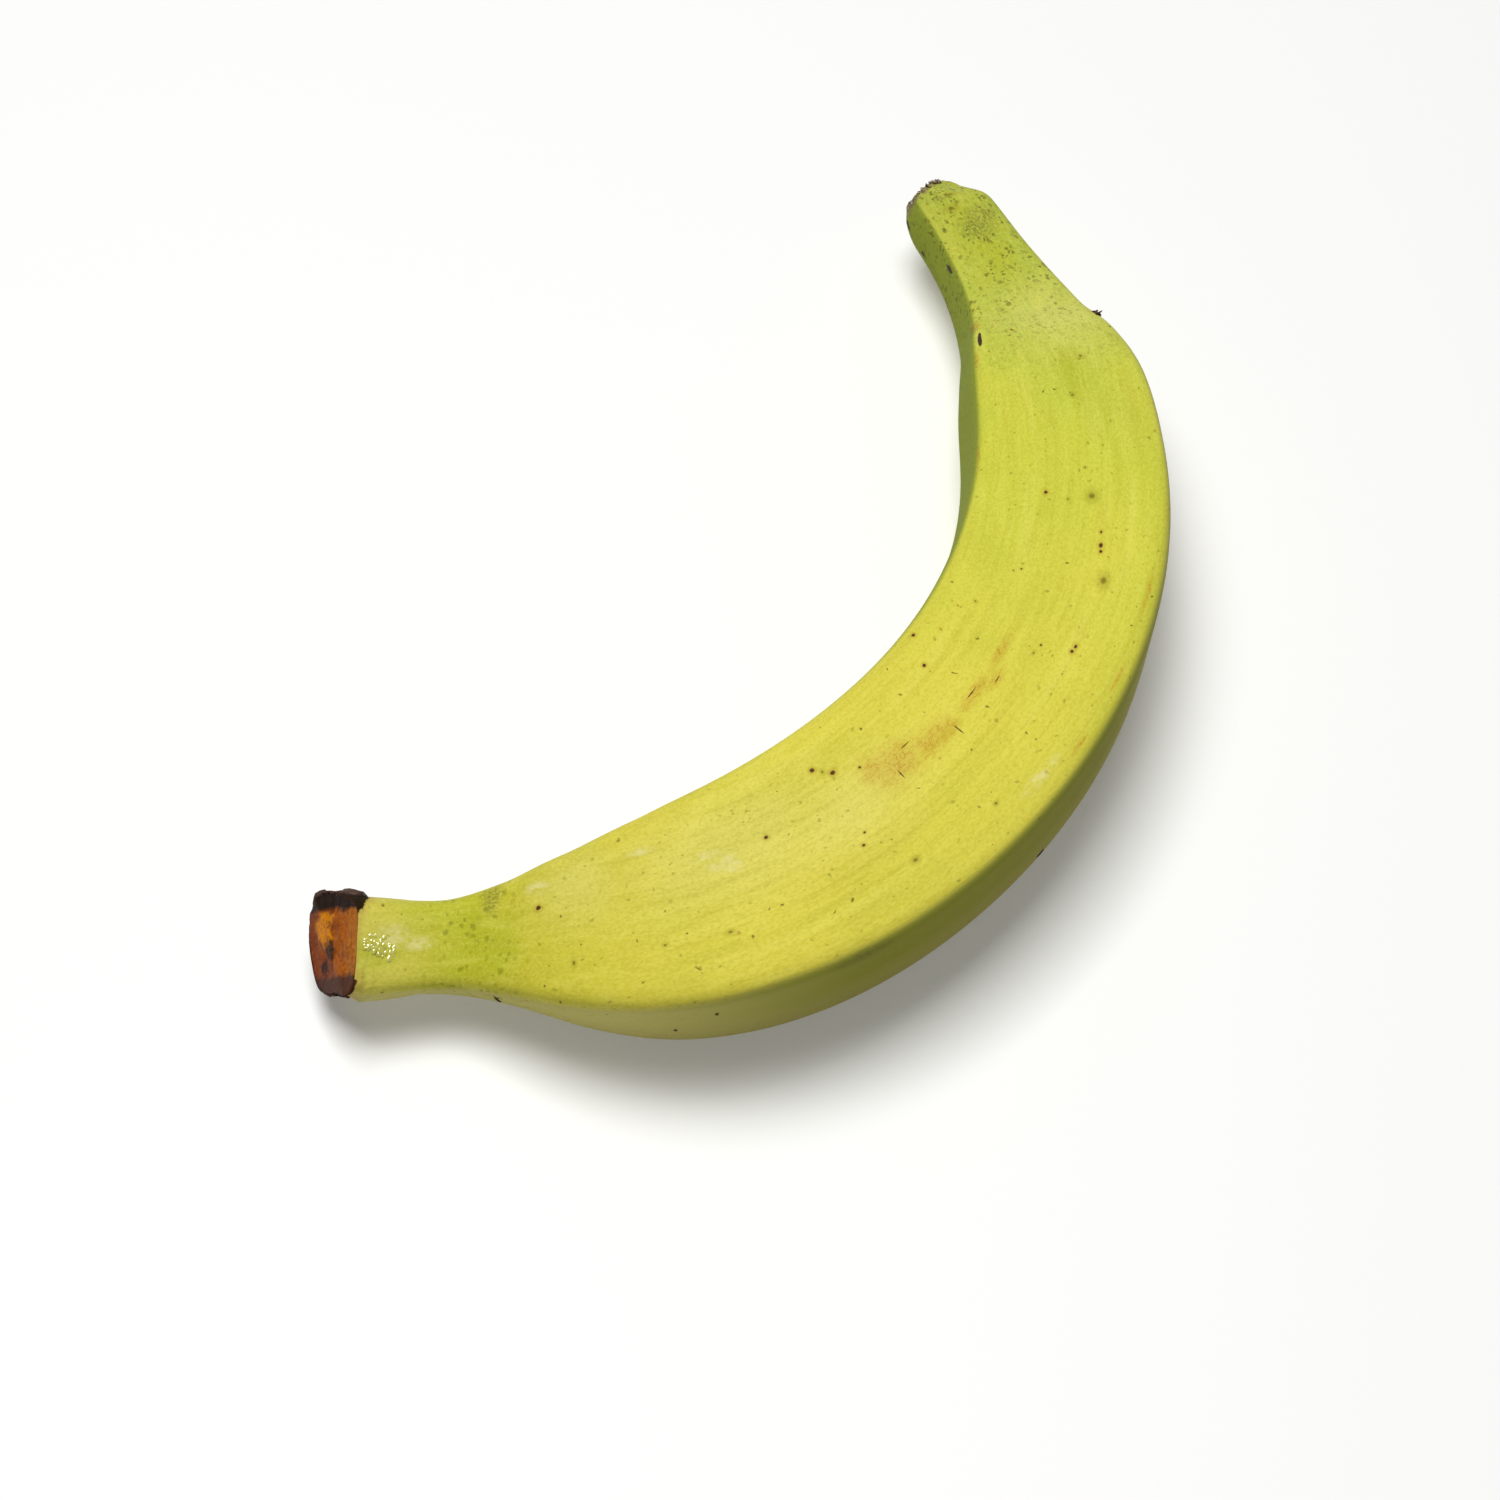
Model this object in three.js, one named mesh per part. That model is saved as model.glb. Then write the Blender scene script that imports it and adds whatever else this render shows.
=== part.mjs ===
// A whole plantain lying on its side, as cut from its bunch.
// Millimetres, +Z up. The chord from the cut stem to the blossom end runs along +X, and the fruit
// bends round towards +Y. The origin is on the surface that it rests on, under the middle of its box.

import * as THREE from 'three';

// ---- Driving dimensions ----------------------------------------------------------------------

const LENGTH = 280;            // along the middle line, from the cut stem to the blossom end
const GIRTH_SCALE = 1;         // fattens or thins the whole fruit

// Where the middle line points at each share of the length, in degrees from +X. The neck is
// straight, the body is one long bend, and the last third straightens a little.
const HEADING = [
  [0, -52], [0.07, -56], [0.14, -61], [0.22, -47], [0.33, -24.5], [0.455, -5.5],
  [0.58, 13.5], [0.7, 32], [0.81, 44], [0.91, 55], [1, 66],
];

// Half thickness at each share of the length: flared crown, narrow neck, full body, blossom neck.
const HALF_THICKNESS = [
  [0, 9.3], [0.04, 8.6], [0.08, 8.5], [0.12, 10.8], [0.16, 14.4], [0.21, 18.1],
  [0.27, 20.5], [0.35, 21.6], [0.475, 21.3], [0.605, 20.1], [0.71, 18.5], [0.77, 17.3],
  [0.81, 15.1], [0.85, 12], [0.92, 9.1], [1, 8.2],
];

// The flat flanks of the fruit, with a blunt one under its outer edge. The angle goes round the
// section from the outside of the bend, up over the top. The reach is how far the flank lies from
// the middle line, as a share of the half thickness.
const FLANKS = [
  { angle: -3, reach: 1.05 },     // the outside of the bend
  { angle: 88, reach: 0.89 },     // the broad upper flank
  { angle: 171, reach: 1.02 },    // the inside of the bend
  { angle: 214, reach: 0.92 },    // the lower inside
  { angle: 272, reach: 0.92 },    // the underside
  { angle: 314, reach: 1.15 },    // the blunt edge between the underside and the outside
];

// Three more curves along the fruit: how far its sections are turned, in degrees, how crisp its
// ridges are, and how high its underside stands over the surface.
const TWIST = [[0, -28], [0.1, -14.5], [0.35, -9], [0.65, -0.5], [1, -8.5]];
const RIDGE_SHARPNESS = [[0, 4.6], [0.12, 6], [0.25, 13], [0.8, 13], [1, 8]];
const LIFT = [[0, 6.8], [0.12, 4.2], [0.24, 0], [0.5, 0], [0.75, 0], [0.87, 3.1], [1, 7.3]];
const REST_FLAT = 0.35;        // how much the underside is flattened where it bears its weight

// The stem was cut in two strokes, which lean back from square by different angles (degrees).
const CUT_SLANT = { upper: 27.2, lower: 15.4 };
const CUT_SKEW = 11;           // degrees that the cut turns away from the inside of the bend
const CUT_FADE = 34;           // length of stem over which the sections turn square again
// The cut face has sunk unevenly in its middle as it dried, and dried tissue is torn at both
// sides of it. Ragged is the uneven share, and round, across and along are its pitches.
const CUT_HOLLOW = { depth: 0.6, ragged: 0.4, round: 3, across: 5 };
const CROWN_TEAR = { height: 0.9, length: 9, ragged: 0.5, round: 5, along: 0.9 };
const CROWN_ROOTS = [          // where the stem widened into the crown of the bunch, or was chipped
  { angle: 183, width: 43, height: 2, length: 13.7 },
  { angle: -30, width: 22, height: 1.2, length: 16.5 },
  { angle: -26, width: 26, height: -2.4, length: 5.4 },
];
const ROOT_SPREAD = 2.4;       // a high power keeps a root full until near its far end

const TIP_ROUND = 9.8;         // length of the rounded end of the blossom stub
const TIP_FULLNESS = 2.3;      // a high power keeps the stub full until near its end
const TIP_SKEW = 3;            // degrees that its end face turns towards the outside of the bend
// What is left of the section at the very end, on its fullest side, which faces this angle, and
// on the opposite side.
const TIP_REACH = { full: 0.7, lean: 0.55, facing: 41 };
const TIP_LOBES = { count: 3, height: 0.7, first: 70 };     // shrunken lobes round the flower scar
// A dip behind the lobes, on the side that faces this angle, this far back from the end.
const TIP_WAIST = { depth: 1.5, back: 3.1, length: 3.3, angle: 33, width: 31 };
const TIP_BULGE = 0.5;         // how far the end face bulges in its middle
// The dried flower scar on the end face: how far its middle is off centre, and how steep its side.
const SCAR = { height: 1.4, radius: 0.45, off: 0.3, steepness: 4, ragged: 0.4, round: 4, across: 9 };

const END_STEP = 1.4;          // spacing of the sections near both ends
const BODY_STEP = 3;           // and along the body
const END_ZONE = 14;           // length of each end that has the closer spacing
const COLUMNS_PER_FLANK = 7;
const RIDGE_CROWDING = 0.7;    // how much the columns gather at the ridges, 0 for evenly spaced
const CAP_SHARES = [0.85, 0.62, 0.38, 0.16];        // radii of the rings that close each end
const CLIMB_SPAN = 2.8;        // distance ahead and behind over which the climb is measured

// ---- Curves through the driving values ---------------------------------------------------------

// A smooth curve through a list of [place, value] pairs.
function through(stations, place) {
  const last = stations.length - 1;
  const slope = (i) => {
    const before = stations[Math.max(i - 1, 0)];
    const after = stations[Math.min(i + 1, last)];
    return (after[1] - before[1]) / (after[0] - before[0]);
  };
  let i = 0;
  while (i < last - 1 && place > stations[i + 1][0]) i += 1;
  const span = stations[i + 1][0] - stations[i][0];
  const u = (place - stations[i][0]) / span;
  return (1 + 2 * u) * (1 - u) ** 2 * stations[i][1]
    + u * (1 - u) ** 2 * span * slope(i)
    + u ** 2 * (3 - 2 * u) * stations[i + 1][1]
    + u ** 2 * (u - 1) * span * slope(i + 1);
}

// An uneven value between -1 and 1, for torn and dried edges. The pitches of its three waves have
// no common measure, so that it does not repeat.
function uneven(a, b) {
  return (Math.sin(a) + Math.sin(1.7 * a + 2.1 * b) + Math.sin(2.3 * b - 0.8 * a)) / 3;
}

const radians = THREE.MathUtils.degToRad;

// How near an angle is to a direction, from 1 there down to 0, over a width in degrees.
function nearness(angle, direction, width) {
  const turned = THREE.MathUtils.clamp(Math.cos(angle - radians(direction)), -1, 1);
  return Math.exp(-((THREE.MathUtils.radToDeg(Math.acos(turned)) / width) ** 2));
}

// ---- The cross-section --------------------------------------------------------------------------

// The angle of the ridge where two neighbouring flanks meet.
function ridgeAngle(one, two) {
  const a = radians(one.angle);
  const b = radians(two.angle);
  const across = one.reach * Math.sin(b) - two.reach * Math.sin(a);
  const up = two.reach * Math.cos(a) - one.reach * Math.cos(b);
  return Math.atan2(up, across);
}

// Distance from the middle line to the skin. A high power keeps the flanks flat and the ridges
// crisp, and a low one rounds them off.
function skinRadius(share, angle) {
  const power = through(RIDGE_SHARPNESS, share);
  const sum = FLANKS.reduce((total, flank) => {
    const facing = Math.cos(angle - radians(flank.angle)) / flank.reach;
    return total + Math.max(0, facing) ** power;
  }, 0);
  return GIRTH_SCALE * through(HALF_THICKNESS, share) * sum ** (-1 / power);
}

// The angles of the lengthwise columns of points, gathered towards the ridges.
function columnAngles() {
  const angles = [];
  FLANKS.forEach((flank, i) => {
    const next = FLANKS[(i + 1) % FLANKS.length];
    const afterNext = FLANKS[(i + 2) % FLANKS.length];
    const start = ridgeAngle(flank, next);
    const turn = THREE.MathUtils.euclideanModulo(ridgeAngle(next, afterNext) - start, 2 * Math.PI);
    for (let k = 0; k < COLUMNS_PER_FLANK; k += 1) {
      const u = k / COLUMNS_PER_FLANK;
      const gathered = u - RIDGE_CROWDING * Math.sin(2 * Math.PI * u) / (2 * Math.PI);
      angles.push(start + turn * gathered);
    }
  });
  return angles;
}

const COLUMNS = columnAngles();

// How far a section reaches below its middle line.
function depthBelow(share) {
  const twist = radians(through(TWIST, share));
  return Math.max(...COLUMNS.map((angle) => -skinRadius(share, angle) * Math.sin(angle + twist)));
}

// ---- The middle line ----------------------------------------------------------------------------

// Points along the middle line, one each millimetre, found by following the heading.
function followHeading() {
  const line = [new THREE.Vector3(0, 0, 0)];
  for (let s = 0; s < LENGTH; s += 1) {
    const heading = radians(through(HEADING, (s + 0.5) / LENGTH));
    const step = new THREE.Vector3(Math.cos(heading), Math.sin(heading), 0);
    line.push(line[line.length - 1].clone().add(step));
  }
  return line;
}

const MIDDLE_LINE = followHeading();

function middleHeight(s) {
  return depthBelow(s / LENGTH) + through(LIFT, s / LENGTH) - REST_FLAT;
}

// The middle line's point at a distance from the cut stem, with the directions along it, out from
// the bend and up.
function frameAt(s) {
  const i = THREE.MathUtils.clamp(Math.floor(s), 0, MIDDLE_LINE.length - 2);
  const point = MIDDLE_LINE[i].clone().lerp(MIDDLE_LINE[i + 1], s - i);
  point.z = middleHeight(s);
  const climb = (middleHeight(s + CLIMB_SPAN) - middleHeight(s - CLIMB_SPAN)) / (2 * CLIMB_SPAN);
  const heading = radians(through(HEADING, s / LENGTH));
  const along = new THREE.Vector3(Math.cos(heading), Math.sin(heading), climb).normalize();
  const out = new THREE.Vector3(Math.sin(heading), -Math.cos(heading), 0);
  const up = out.clone().cross(along);
  return { point, along, out, up };
}

// ---- The two ends -------------------------------------------------------------------------------

// The stem is cut on the slant: points high up and on the outside of the bend start further along.
function slantShift(s, outwards, height) {
  const slant = height > 0 ? CUT_SLANT.upper : CUT_SLANT.lower;
  const fade = Math.max(0, 1 - s / CUT_FADE) ** 2;
  return (height * Math.tan(radians(slant)) + outwards * Math.tan(radians(CUT_SKEW))) * fade;
}

// The stem spreads towards the crown that it was cut from.
function rootSwell(s, angle) {
  return CROWN_ROOTS.reduce((sum, root) => {
    const left = Math.max(0, 1 - Math.max(s / root.length, 0) ** ROOT_SPREAD);
    return sum + root.height * left * nearness(angle, root.angle, root.width);
  }, 0);
}

// Torn, dried tissue stands proud at both sides of the stem, next to the cut.
function tearHeight(s, angle) {
  const { height, length, ragged, round, along } = CROWN_TEAR;
  const left = Math.max(0, 1 - s / length);
  const side = Math.cos(angle) ** 2;
  return height * left * side * (1 - ragged + ragged * uneven(round * angle, along * s));
}

function intoTip(s) {
  return Math.max(0, 1 - (LENGTH - s) / TIP_ROUND);
}

// The blossom stub rounds off at its end, less on its fullest side than opposite to it.
function tipTaper(s, angle) {
  const fullSide = 0.5 + 0.5 * Math.cos(angle - radians(TIP_REACH.facing));
  const left = THREE.MathUtils.lerp(TIP_REACH.lean, TIP_REACH.full, fullSide);
  return 1 - (1 - left) * intoTip(s) ** TIP_FULLNESS;
}

// The stub is drawn in behind its end, on one side.
function waistDepth(s, angle) {
  const { depth, back, length, width } = TIP_WAIST;
  const near = Math.exp(-(((LENGTH - s - back) / length) ** 2));
  return depth * near * nearness(angle, TIP_WAIST.angle, width);
}

// The end of the stub faces a little outwards, and is drawn up into low lobes.
function tipShift(s, outwards, angle) {
  const lobes = TIP_LOBES.height * Math.cos(TIP_LOBES.count * (angle - radians(TIP_LOBES.first)));
  return intoTip(s) ** 2 * (lobes - outwards * Math.tan(radians(TIP_SKEW)));
}

// ---- Sections and skin --------------------------------------------------------------------------

// One closed section of the skin, with reach 1. A smaller reach gives a ring on an end face, pushed
// along the fruit by what the face has there.
function section(s, reach = 1, faceOffset = () => 0) {
  const twist = radians(through(TWIST, s / LENGTH));
  return COLUMNS.map((column) => {
    const angle = column + twist;
    const grown = tearHeight(s, angle) + rootSwell(s, angle) - waistDepth(s, angle);
    const radius = skinRadius(s / LENGTH, column) * tipTaper(s, angle) + grown;
    const outwards = reach * radius * Math.cos(angle);
    const height = reach * radius * Math.sin(angle);
    const { point, along, out, up } = frameAt(s + slantShift(s, outwards, height));
    const shift = tipShift(s, radius * Math.cos(angle), angle);
    point.addScaledVector(out, outwards);
    point.addScaledVector(up, height);
    point.addScaledVector(along, faceOffset(reach, angle) + reach * shift);
    point.z = Math.max(point.z, 0);
    return point;
  });
}

// The cut face sinks towards its middle.
function cutFace(reach, angle) {
  const { depth, ragged, round, across } = CUT_HOLLOW;
  return depth * (1 - reach ** 2) * (1 + ragged * uneven(round * angle, across * reach));
}

// The end of the stub bulges slightly, with the ragged scar of the flower on it.
function tipFace(reach, angle) {
  const { height, radius, off, steepness, ragged, round, across } = SCAR;
  const distance = Math.hypot(reach * Math.cos(angle) - off, reach * Math.sin(angle));
  const scar = height * Math.exp(-((distance / radius) ** steepness));
  const broken = 1 - ragged + ragged * uneven(round * angle, across * reach);
  return TIP_BULGE * (1 - reach ** 2) + scar * broken;
}

// Distances from the cut stem at which the sections stand, closer together at both ends.
function sectionPlaces() {
  const endSteps = Math.round(END_ZONE / END_STEP);
  const bodySteps = Math.round((LENGTH - 2 * END_ZONE) / BODY_STEP);
  const places = [];
  for (let i = 0; i < endSteps; i += 1) places.push((i / endSteps) * END_ZONE);
  for (let i = 0; i < bodySteps; i += 1) {
    places.push(END_ZONE + (i / bodySteps) * (LENGTH - 2 * END_ZONE));
  }
  for (let i = 0; i <= endSteps; i += 1) places.push(LENGTH - END_ZONE * (1 - i / endSteps));
  return places;
}

function middleOf(ring) {
  return ring.reduce((sum, point) => sum.add(point), new THREE.Vector3()).divideScalar(ring.length);
}

// Joins closed rings of points into one closed skin, with a point at the middle of each end.
function closedSkin(rings) {
  const count = rings[0].length;
  const points = [middleOf(rings[0]), ...rings.flat(), middleOf(rings[rings.length - 1])];
  const tipPoint = points.length - 1;
  const faces = [];
  for (let k = 0; k < count; k += 1) {
    const next = (k + 1) % count;
    faces.push(0, 1 + k, 1 + next);
    for (let r = 0; r < rings.length - 1; r += 1) {
      const here = 1 + r * count;
      const ahead = here + count;
      faces.push(here + k, ahead + next, here + next);
      faces.push(here + k, ahead + k, ahead + next);
    }
    const lastRing = 1 + (rings.length - 1) * count;
    faces.push(lastRing + next, lastRing + k, tipPoint);
  }
  const geometry = new THREE.BufferGeometry().setFromPoints(points);
  geometry.setIndex(faces);
  return geometry;
}

// Puts the middle of the box over the origin. The height is already measured from the surface.
function centre(geometry) {
  geometry.computeBoundingBox();
  const middle = geometry.boundingBox.getCenter(new THREE.Vector3());
  geometry.translate(-middle.x, -middle.y, 0);
}

function plantainGeometry() {
  const cutRings = [...CAP_SHARES].reverse().map((reach) => section(0, reach, cutFace));
  const skinRings = sectionPlaces().map((s) => section(s));
  const tipRings = CAP_SHARES.map((reach) => section(LENGTH, reach, tipFace));
  const geometry = closedSkin([...cutRings, ...skinRings, ...tipRings]);
  centre(geometry);
  geometry.computeVertexNormals();
  return geometry;
}

// ---- The part -----------------------------------------------------------------------------------

const peel = new THREE.MeshStandardMaterial({ color: 0xb5b83c, roughness: 0.45, metalness: 0 });

const plantain = new THREE.Mesh(plantainGeometry(), peel);
plantain.name = 'plantain';

const group = new THREE.Group();
group.add(plantain);

export default group;
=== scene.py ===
# %% [markdown]
# # A cooking plantain lying on a table
# The fruit grew as one piece, so its peel is the one main piece here. The peel is laid out flat,
# as if slit along the fruit and opened, and a Geometry Nodes tree rolls it round the fruit's
# middle line. Small things that grew or dried on it are rolled on by the same tree.

import math
from types import SimpleNamespace

import bpy
import numpy as np
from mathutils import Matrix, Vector


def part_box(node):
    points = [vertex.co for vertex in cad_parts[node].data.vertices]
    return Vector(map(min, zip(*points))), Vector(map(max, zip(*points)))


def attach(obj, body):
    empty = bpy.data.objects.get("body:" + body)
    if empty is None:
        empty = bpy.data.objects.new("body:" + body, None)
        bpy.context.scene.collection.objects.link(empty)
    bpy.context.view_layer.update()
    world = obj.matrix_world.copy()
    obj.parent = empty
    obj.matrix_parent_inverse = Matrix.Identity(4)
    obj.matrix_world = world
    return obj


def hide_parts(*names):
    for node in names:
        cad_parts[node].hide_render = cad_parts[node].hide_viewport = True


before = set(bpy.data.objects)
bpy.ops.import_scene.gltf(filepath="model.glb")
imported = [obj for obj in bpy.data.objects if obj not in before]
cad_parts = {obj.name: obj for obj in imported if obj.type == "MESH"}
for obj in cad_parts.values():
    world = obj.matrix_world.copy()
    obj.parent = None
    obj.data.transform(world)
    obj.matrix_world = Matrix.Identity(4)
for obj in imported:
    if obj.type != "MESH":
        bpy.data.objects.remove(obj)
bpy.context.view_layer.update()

# %% [markdown]
# ## Units, colours and nodes
# Blender works in metres, and a fruit is easier to think of in millimetres, so lengths are
# written in millimetres and MM turns them to metres. Colours are written as sRGB hex values, but
# a shader adds up light, so each is turned to linear first. One function adds any node, so a
# tree reads as a list of steps, and a step that is used once can stand inside the next one.

# %% Helpers for units, colours and nodes
MM = 0.001


def linear(hex_colour):
    """An sRGB hex colour as a linear RGBA tuple."""
    parts = [int(hex_colour[i : i + 2], 16) / 255 for i in (1, 3, 5)]
    return tuple(p / 12.92 if p <= 0.04045 else ((p + 0.055) / 1.055) ** 2.4 for p in parts) + (1.0,)


def adder(tree):
    """The function that adds a node to this tree and returns one of its outputs."""

    def add(kind, *values, named=None, out=0, **settings):
        """Adds a node, such as MapRange or Math.SINE. The values go to its inputs in order, named
        ones to the inputs of those names, and the rest are its settings."""
        kind, _, operation = kind.partition(".")
        made = tree.nodes.new(kind if "Node" in kind else "ShaderNode" + kind)
        if operation:
            made.operation = operation
        for label, value in settings.items():
            setattr(made, label, value)
        for key, value in [*enumerate(values), *(named or {}).items()]:
            socket = made.inputs[key]
            if isinstance(value, bpy.types.NodeSocket):
                tree.links.new(value, socket)
            else:
                socket.default_value = value
        return made.outputs[out] if len(made.outputs) else made

    return add


# %% [markdown]
# ## The form of the fruit
# A plantain bends in one long curve. Its section is a rounded polygon: a few flat flanks with
# ridges between them. A short list of stations gives each measure along the length, and a smooth
# curve through them gives it everywhere. The sharper the ridges, the higher the power that
# the flanks are combined with.

# %% Driving dimensions
LENGTH = 280.0      # mm along the middle line
HEADING = [         # share of the length, and degrees that the middle line points at there
    (0, -52), (0.07, -56), (0.14, -61), (0.22, -47), (0.33, -24.5), (0.455, -5.5),
    (0.58, 13.5), (0.7, 32), (0.81, 44), (0.91, 55), (1, 66),
]
HALF_THICKNESS = [  # share of the length, and mm
    (0, 9.3), (0.04, 8.6), (0.08, 8.5), (0.12, 10.8), (0.16, 14.4), (0.21, 18.1),
    (0.27, 20.5), (0.35, 21.6), (0.475, 21.3), (0.605, 20.1), (0.71, 18.5), (0.77, 17.3),
    (0.81, 15.1), (0.85, 12), (0.92, 9.1), (1, 8.2),
]
# The flat flanks: degrees round the section from the outside of the bend, and how far each lies
# from the middle line, as a share of the half thickness.
FLANKS = [(-3, 1.05), (88, 0.89), (171, 1.02), (214, 0.92), (272, 0.92), (314, 1.15)]
TWIST = [(0, -28), (0.1, -14.5), (0.35, -9), (0.65, -0.5), (1, -8.5)]
RIDGE_SHARPNESS = [(0, 4.6), (0.12, 6), (0.25, 13), (0.8, 13), (1, 8)]
LIFT = [(0, 6.8), (0.12, 4.2), (0.24, 0), (0.5, 0), (0.75, 0), (0.87, 3.1), (1, 7.3)]
REST_FLAT = 0.35    # mm that the underside is flattened where it bears the weight
CLIMB_SPAN = 2.8    # mm ahead and behind over which the climb is measured

# The stem was cut in two strokes, which lean back from square by different angles (degrees).
CUT_SLANT = {"upper": 27.2, "lower": 15.4}
CUT_SKEW = 11       # degrees that the cut turns away from the inside of the bend
CUT_FADE = 34       # mm over which the sections turn square again
CUT_HOLLOW = {"depth": 0.6, "ragged": 0.4, "round": 3, "across": 5}
CROWN_TEAR = {"height": 0.9, "length": 9, "ragged": 0.5, "round": 5, "along": 0.9}
CROWN_ROOTS = [     # degrees round the section, width in degrees, height and length in mm
    (183, 43, 2, 13.7), (-30, 22, 1.2, 16.5), (-26, 26, -2.4, 5.4),
]
ROOT_SPREAD = 2.4

TIP_ROUND = 9.8     # mm of rounded end
TIP_FULLNESS = 2.3
TIP_SKEW = 3        # degrees
TIP_REACH = {"full": 0.7, "lean": 0.55, "facing": 41}
TIP_LOBES = {"count": 3, "height": 0.7, "first": 70}
TIP_WAIST = {"depth": 1.5, "back": 3.1, "length": 3.3, "angle": 33, "width": 31}
TIP_BULGE = 0.5
SCAR = {
    "height": 1.4, "radius": 0.45, "off": 0.3, "steepness": 4, "ragged": 0.4, "round": 4, "across": 9,
}


def through(stations, place):
    """A smooth curve through (place, value) pairs, for an array of places."""
    x, y = np.array(stations, float).T
    ends = np.diff(y) / np.diff(x)
    slope = np.concatenate([ends[:1], (y[2:] - y[:-2]) / (x[2:] - x[:-2]), ends[-1:]])
    place = np.asarray(place, float)
    i = np.clip(np.searchsorted(x, place, side="left") - 1, 0, len(x) - 2)
    span = x[i + 1] - x[i]
    u = (place - x[i]) / span
    return (
        (1 + 2 * u) * (1 - u) ** 2 * y[i]
        + u * (1 - u) ** 2 * span * slope[i]
        + u**2 * (3 - 2 * u) * y[i + 1]
        + u**2 * (u - 1) * span * slope[i + 1]
    )


def skin_radius(share, angle):
    """Distance in mm from the middle line to the skin."""
    power = through(RIDGE_SHARPNESS, share)
    total = 0
    for flank_angle, reach in FLANKS:
        facing = np.cos(angle - math.radians(flank_angle)) / reach
        total = total + np.maximum(facing, 0) ** power
    return through(HALF_THICKNESS, share) * total ** (-1 / power)


print("thickest section:", 2 * max(half for _, half in HALF_THICKNESS), "mm across")

# %% [markdown]
# ## The middle line
# The line is found by walking along the fruit in 1 mm steps, each in the direction that the
# heading gives. It lies flat here, and the height of the fruit above the table is kept on its
# points as an attribute, so a distance along the line is a true distance along the fruit.

# %% Angles round the section
def ridge_angle(one, two):
    """The angle of the ridge between two neighbouring flanks."""
    a, b = math.radians(one[0]), math.radians(two[0])
    across = one[1] * math.sin(b) - two[1] * math.sin(a)
    up = two[1] * math.cos(a) - one[1] * math.cos(b)
    return math.atan2(up, across)


def column_angles(per_flank, crowding):
    """Angles round the section, gathered towards the ridges."""
    angles = []
    count = len(FLANKS)
    for i in range(count):
        start = ridge_angle(FLANKS[i], FLANKS[(i + 1) % count])
        end = ridge_angle(FLANKS[(i + 1) % count], FLANKS[(i + 2) % count])
        turn = (end - start) % (2 * math.pi)
        for k in range(per_flank):
            u = k / per_flank
            angles.append(start + turn * (u - crowding * math.sin(2 * math.pi * u) / (2 * math.pi)))
    return np.array(angles)


# %% Walk along the middle line
LEAD_IN = 10      # mm of straight line beyond each end, which the slanting cut reaches


def middle_height(from_cut):
    """Height of the middle line above the table, in mm."""
    share = np.asarray(from_cut)[:, None] / LENGTH
    angle = column_angles(per_flank=7, crowding=0.7)[None, :]
    twist = np.radians(through(TWIST, share))
    below = (-skin_radius(share, angle) * np.sin(angle + twist)).max(axis=1)
    return below + through(LIFT, share[:, 0]) - REST_FLAT


steps = np.arange(0.5, LENGTH, 1.0)
heading = np.radians(through(HEADING, steps / LENGTH))
walk = np.column_stack([np.cos(heading), np.sin(heading)])
line = np.vstack([[0, 0], np.cumsum(walk, axis=0)])
before = -np.arange(LEAD_IN, 0, -1)[:, None] * walk[0]
after = line[-1] + np.arange(1, LEAD_IN + 1)[:, None] * walk[-1]
line = np.vstack([before, line, after])
place = np.arange(len(line)) - LEAD_IN
height = middle_height(place)
climb = (middle_height(place + CLIMB_SPAN) - middle_height(place - CLIMB_SPAN)) / (2 * CLIMB_SPAN)
state = np.column_stack([np.radians(through(HEADING, place / LENGTH)), height * MM, climb])

line_mesh = bpy.data.meshes.new("middle_line")
edges = [(i, i + 1) for i in range(len(line) - 1)]
line_mesh.from_pydata([(x * MM, y * MM, 0) for x, y in line], edges, [])
state_data = line_mesh.attributes.new("line_state", "FLOAT_VECTOR", "POINT").data
state_data.foreach_set("vector", state.astype(np.float32).ravel())
middle_line = bpy.data.objects.new("middle_line", line_mesh)
bpy.context.collection.objects.link(middle_line)
print("middle line:", LENGTH, "mm, highest point", round(height.max(), 1), "mm above the table")

# %% [markdown]
# ## The two ends
# The stem was cut from its bunch on the slant. The tissue beside the cut dried black and torn,
# and the cut face sank a little. At the other end the blossom fell off and left a stub that is
# drawn up into low lobes round a dried scar. Each of these is a small height that is added to
# the radius or to the end face, and fades out within a few millimetres.

# %% Heights that belong to the two ends
def uneven(a, b):
    """An uneven value between -1 and 1, for torn and dried edges."""
    return (np.sin(a) + np.sin(1.7 * a + 2.1 * b) + np.sin(2.3 * b - 0.8 * a)) / 3


def nearness(angle, direction, width):
    """1 where an angle is at a direction, falling to 0 over a width in degrees."""
    turned = np.clip(np.cos(angle - math.radians(direction)), -1, 1)
    return np.exp(-((np.degrees(np.arccos(turned)) / width) ** 2))


def grown_height(from_cut, angle):
    """How far the skin stands out (+) or in (-) from the plain section near both ends, in mm."""
    tear = CROWN_TEAR
    waves = uneven(tear["round"] * angle, tear["along"] * from_cut)
    left = np.maximum(0, 1 - from_cut / tear["length"])
    total = tear["height"] * left * np.cos(angle) ** 2 * (1 - tear["ragged"] + tear["ragged"] * waves)
    for direction, width, height, length in CROWN_ROOTS:
        left = np.maximum(0, 1 - np.maximum(from_cut / length, 0) ** ROOT_SPREAD)
        total = total + height * left * nearness(angle, direction, width)
    waist = TIP_WAIST
    near = np.exp(-(((LENGTH - from_cut - waist["back"]) / waist["length"]) ** 2))
    return total - waist["depth"] * near * nearness(angle, waist["angle"], waist["width"])


def into_tip(from_cut):
    """0 along the fruit, rising to 1 at the very end of the blossom stub."""
    return np.maximum(0, 1 - (LENGTH - from_cut) / TIP_ROUND)


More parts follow.
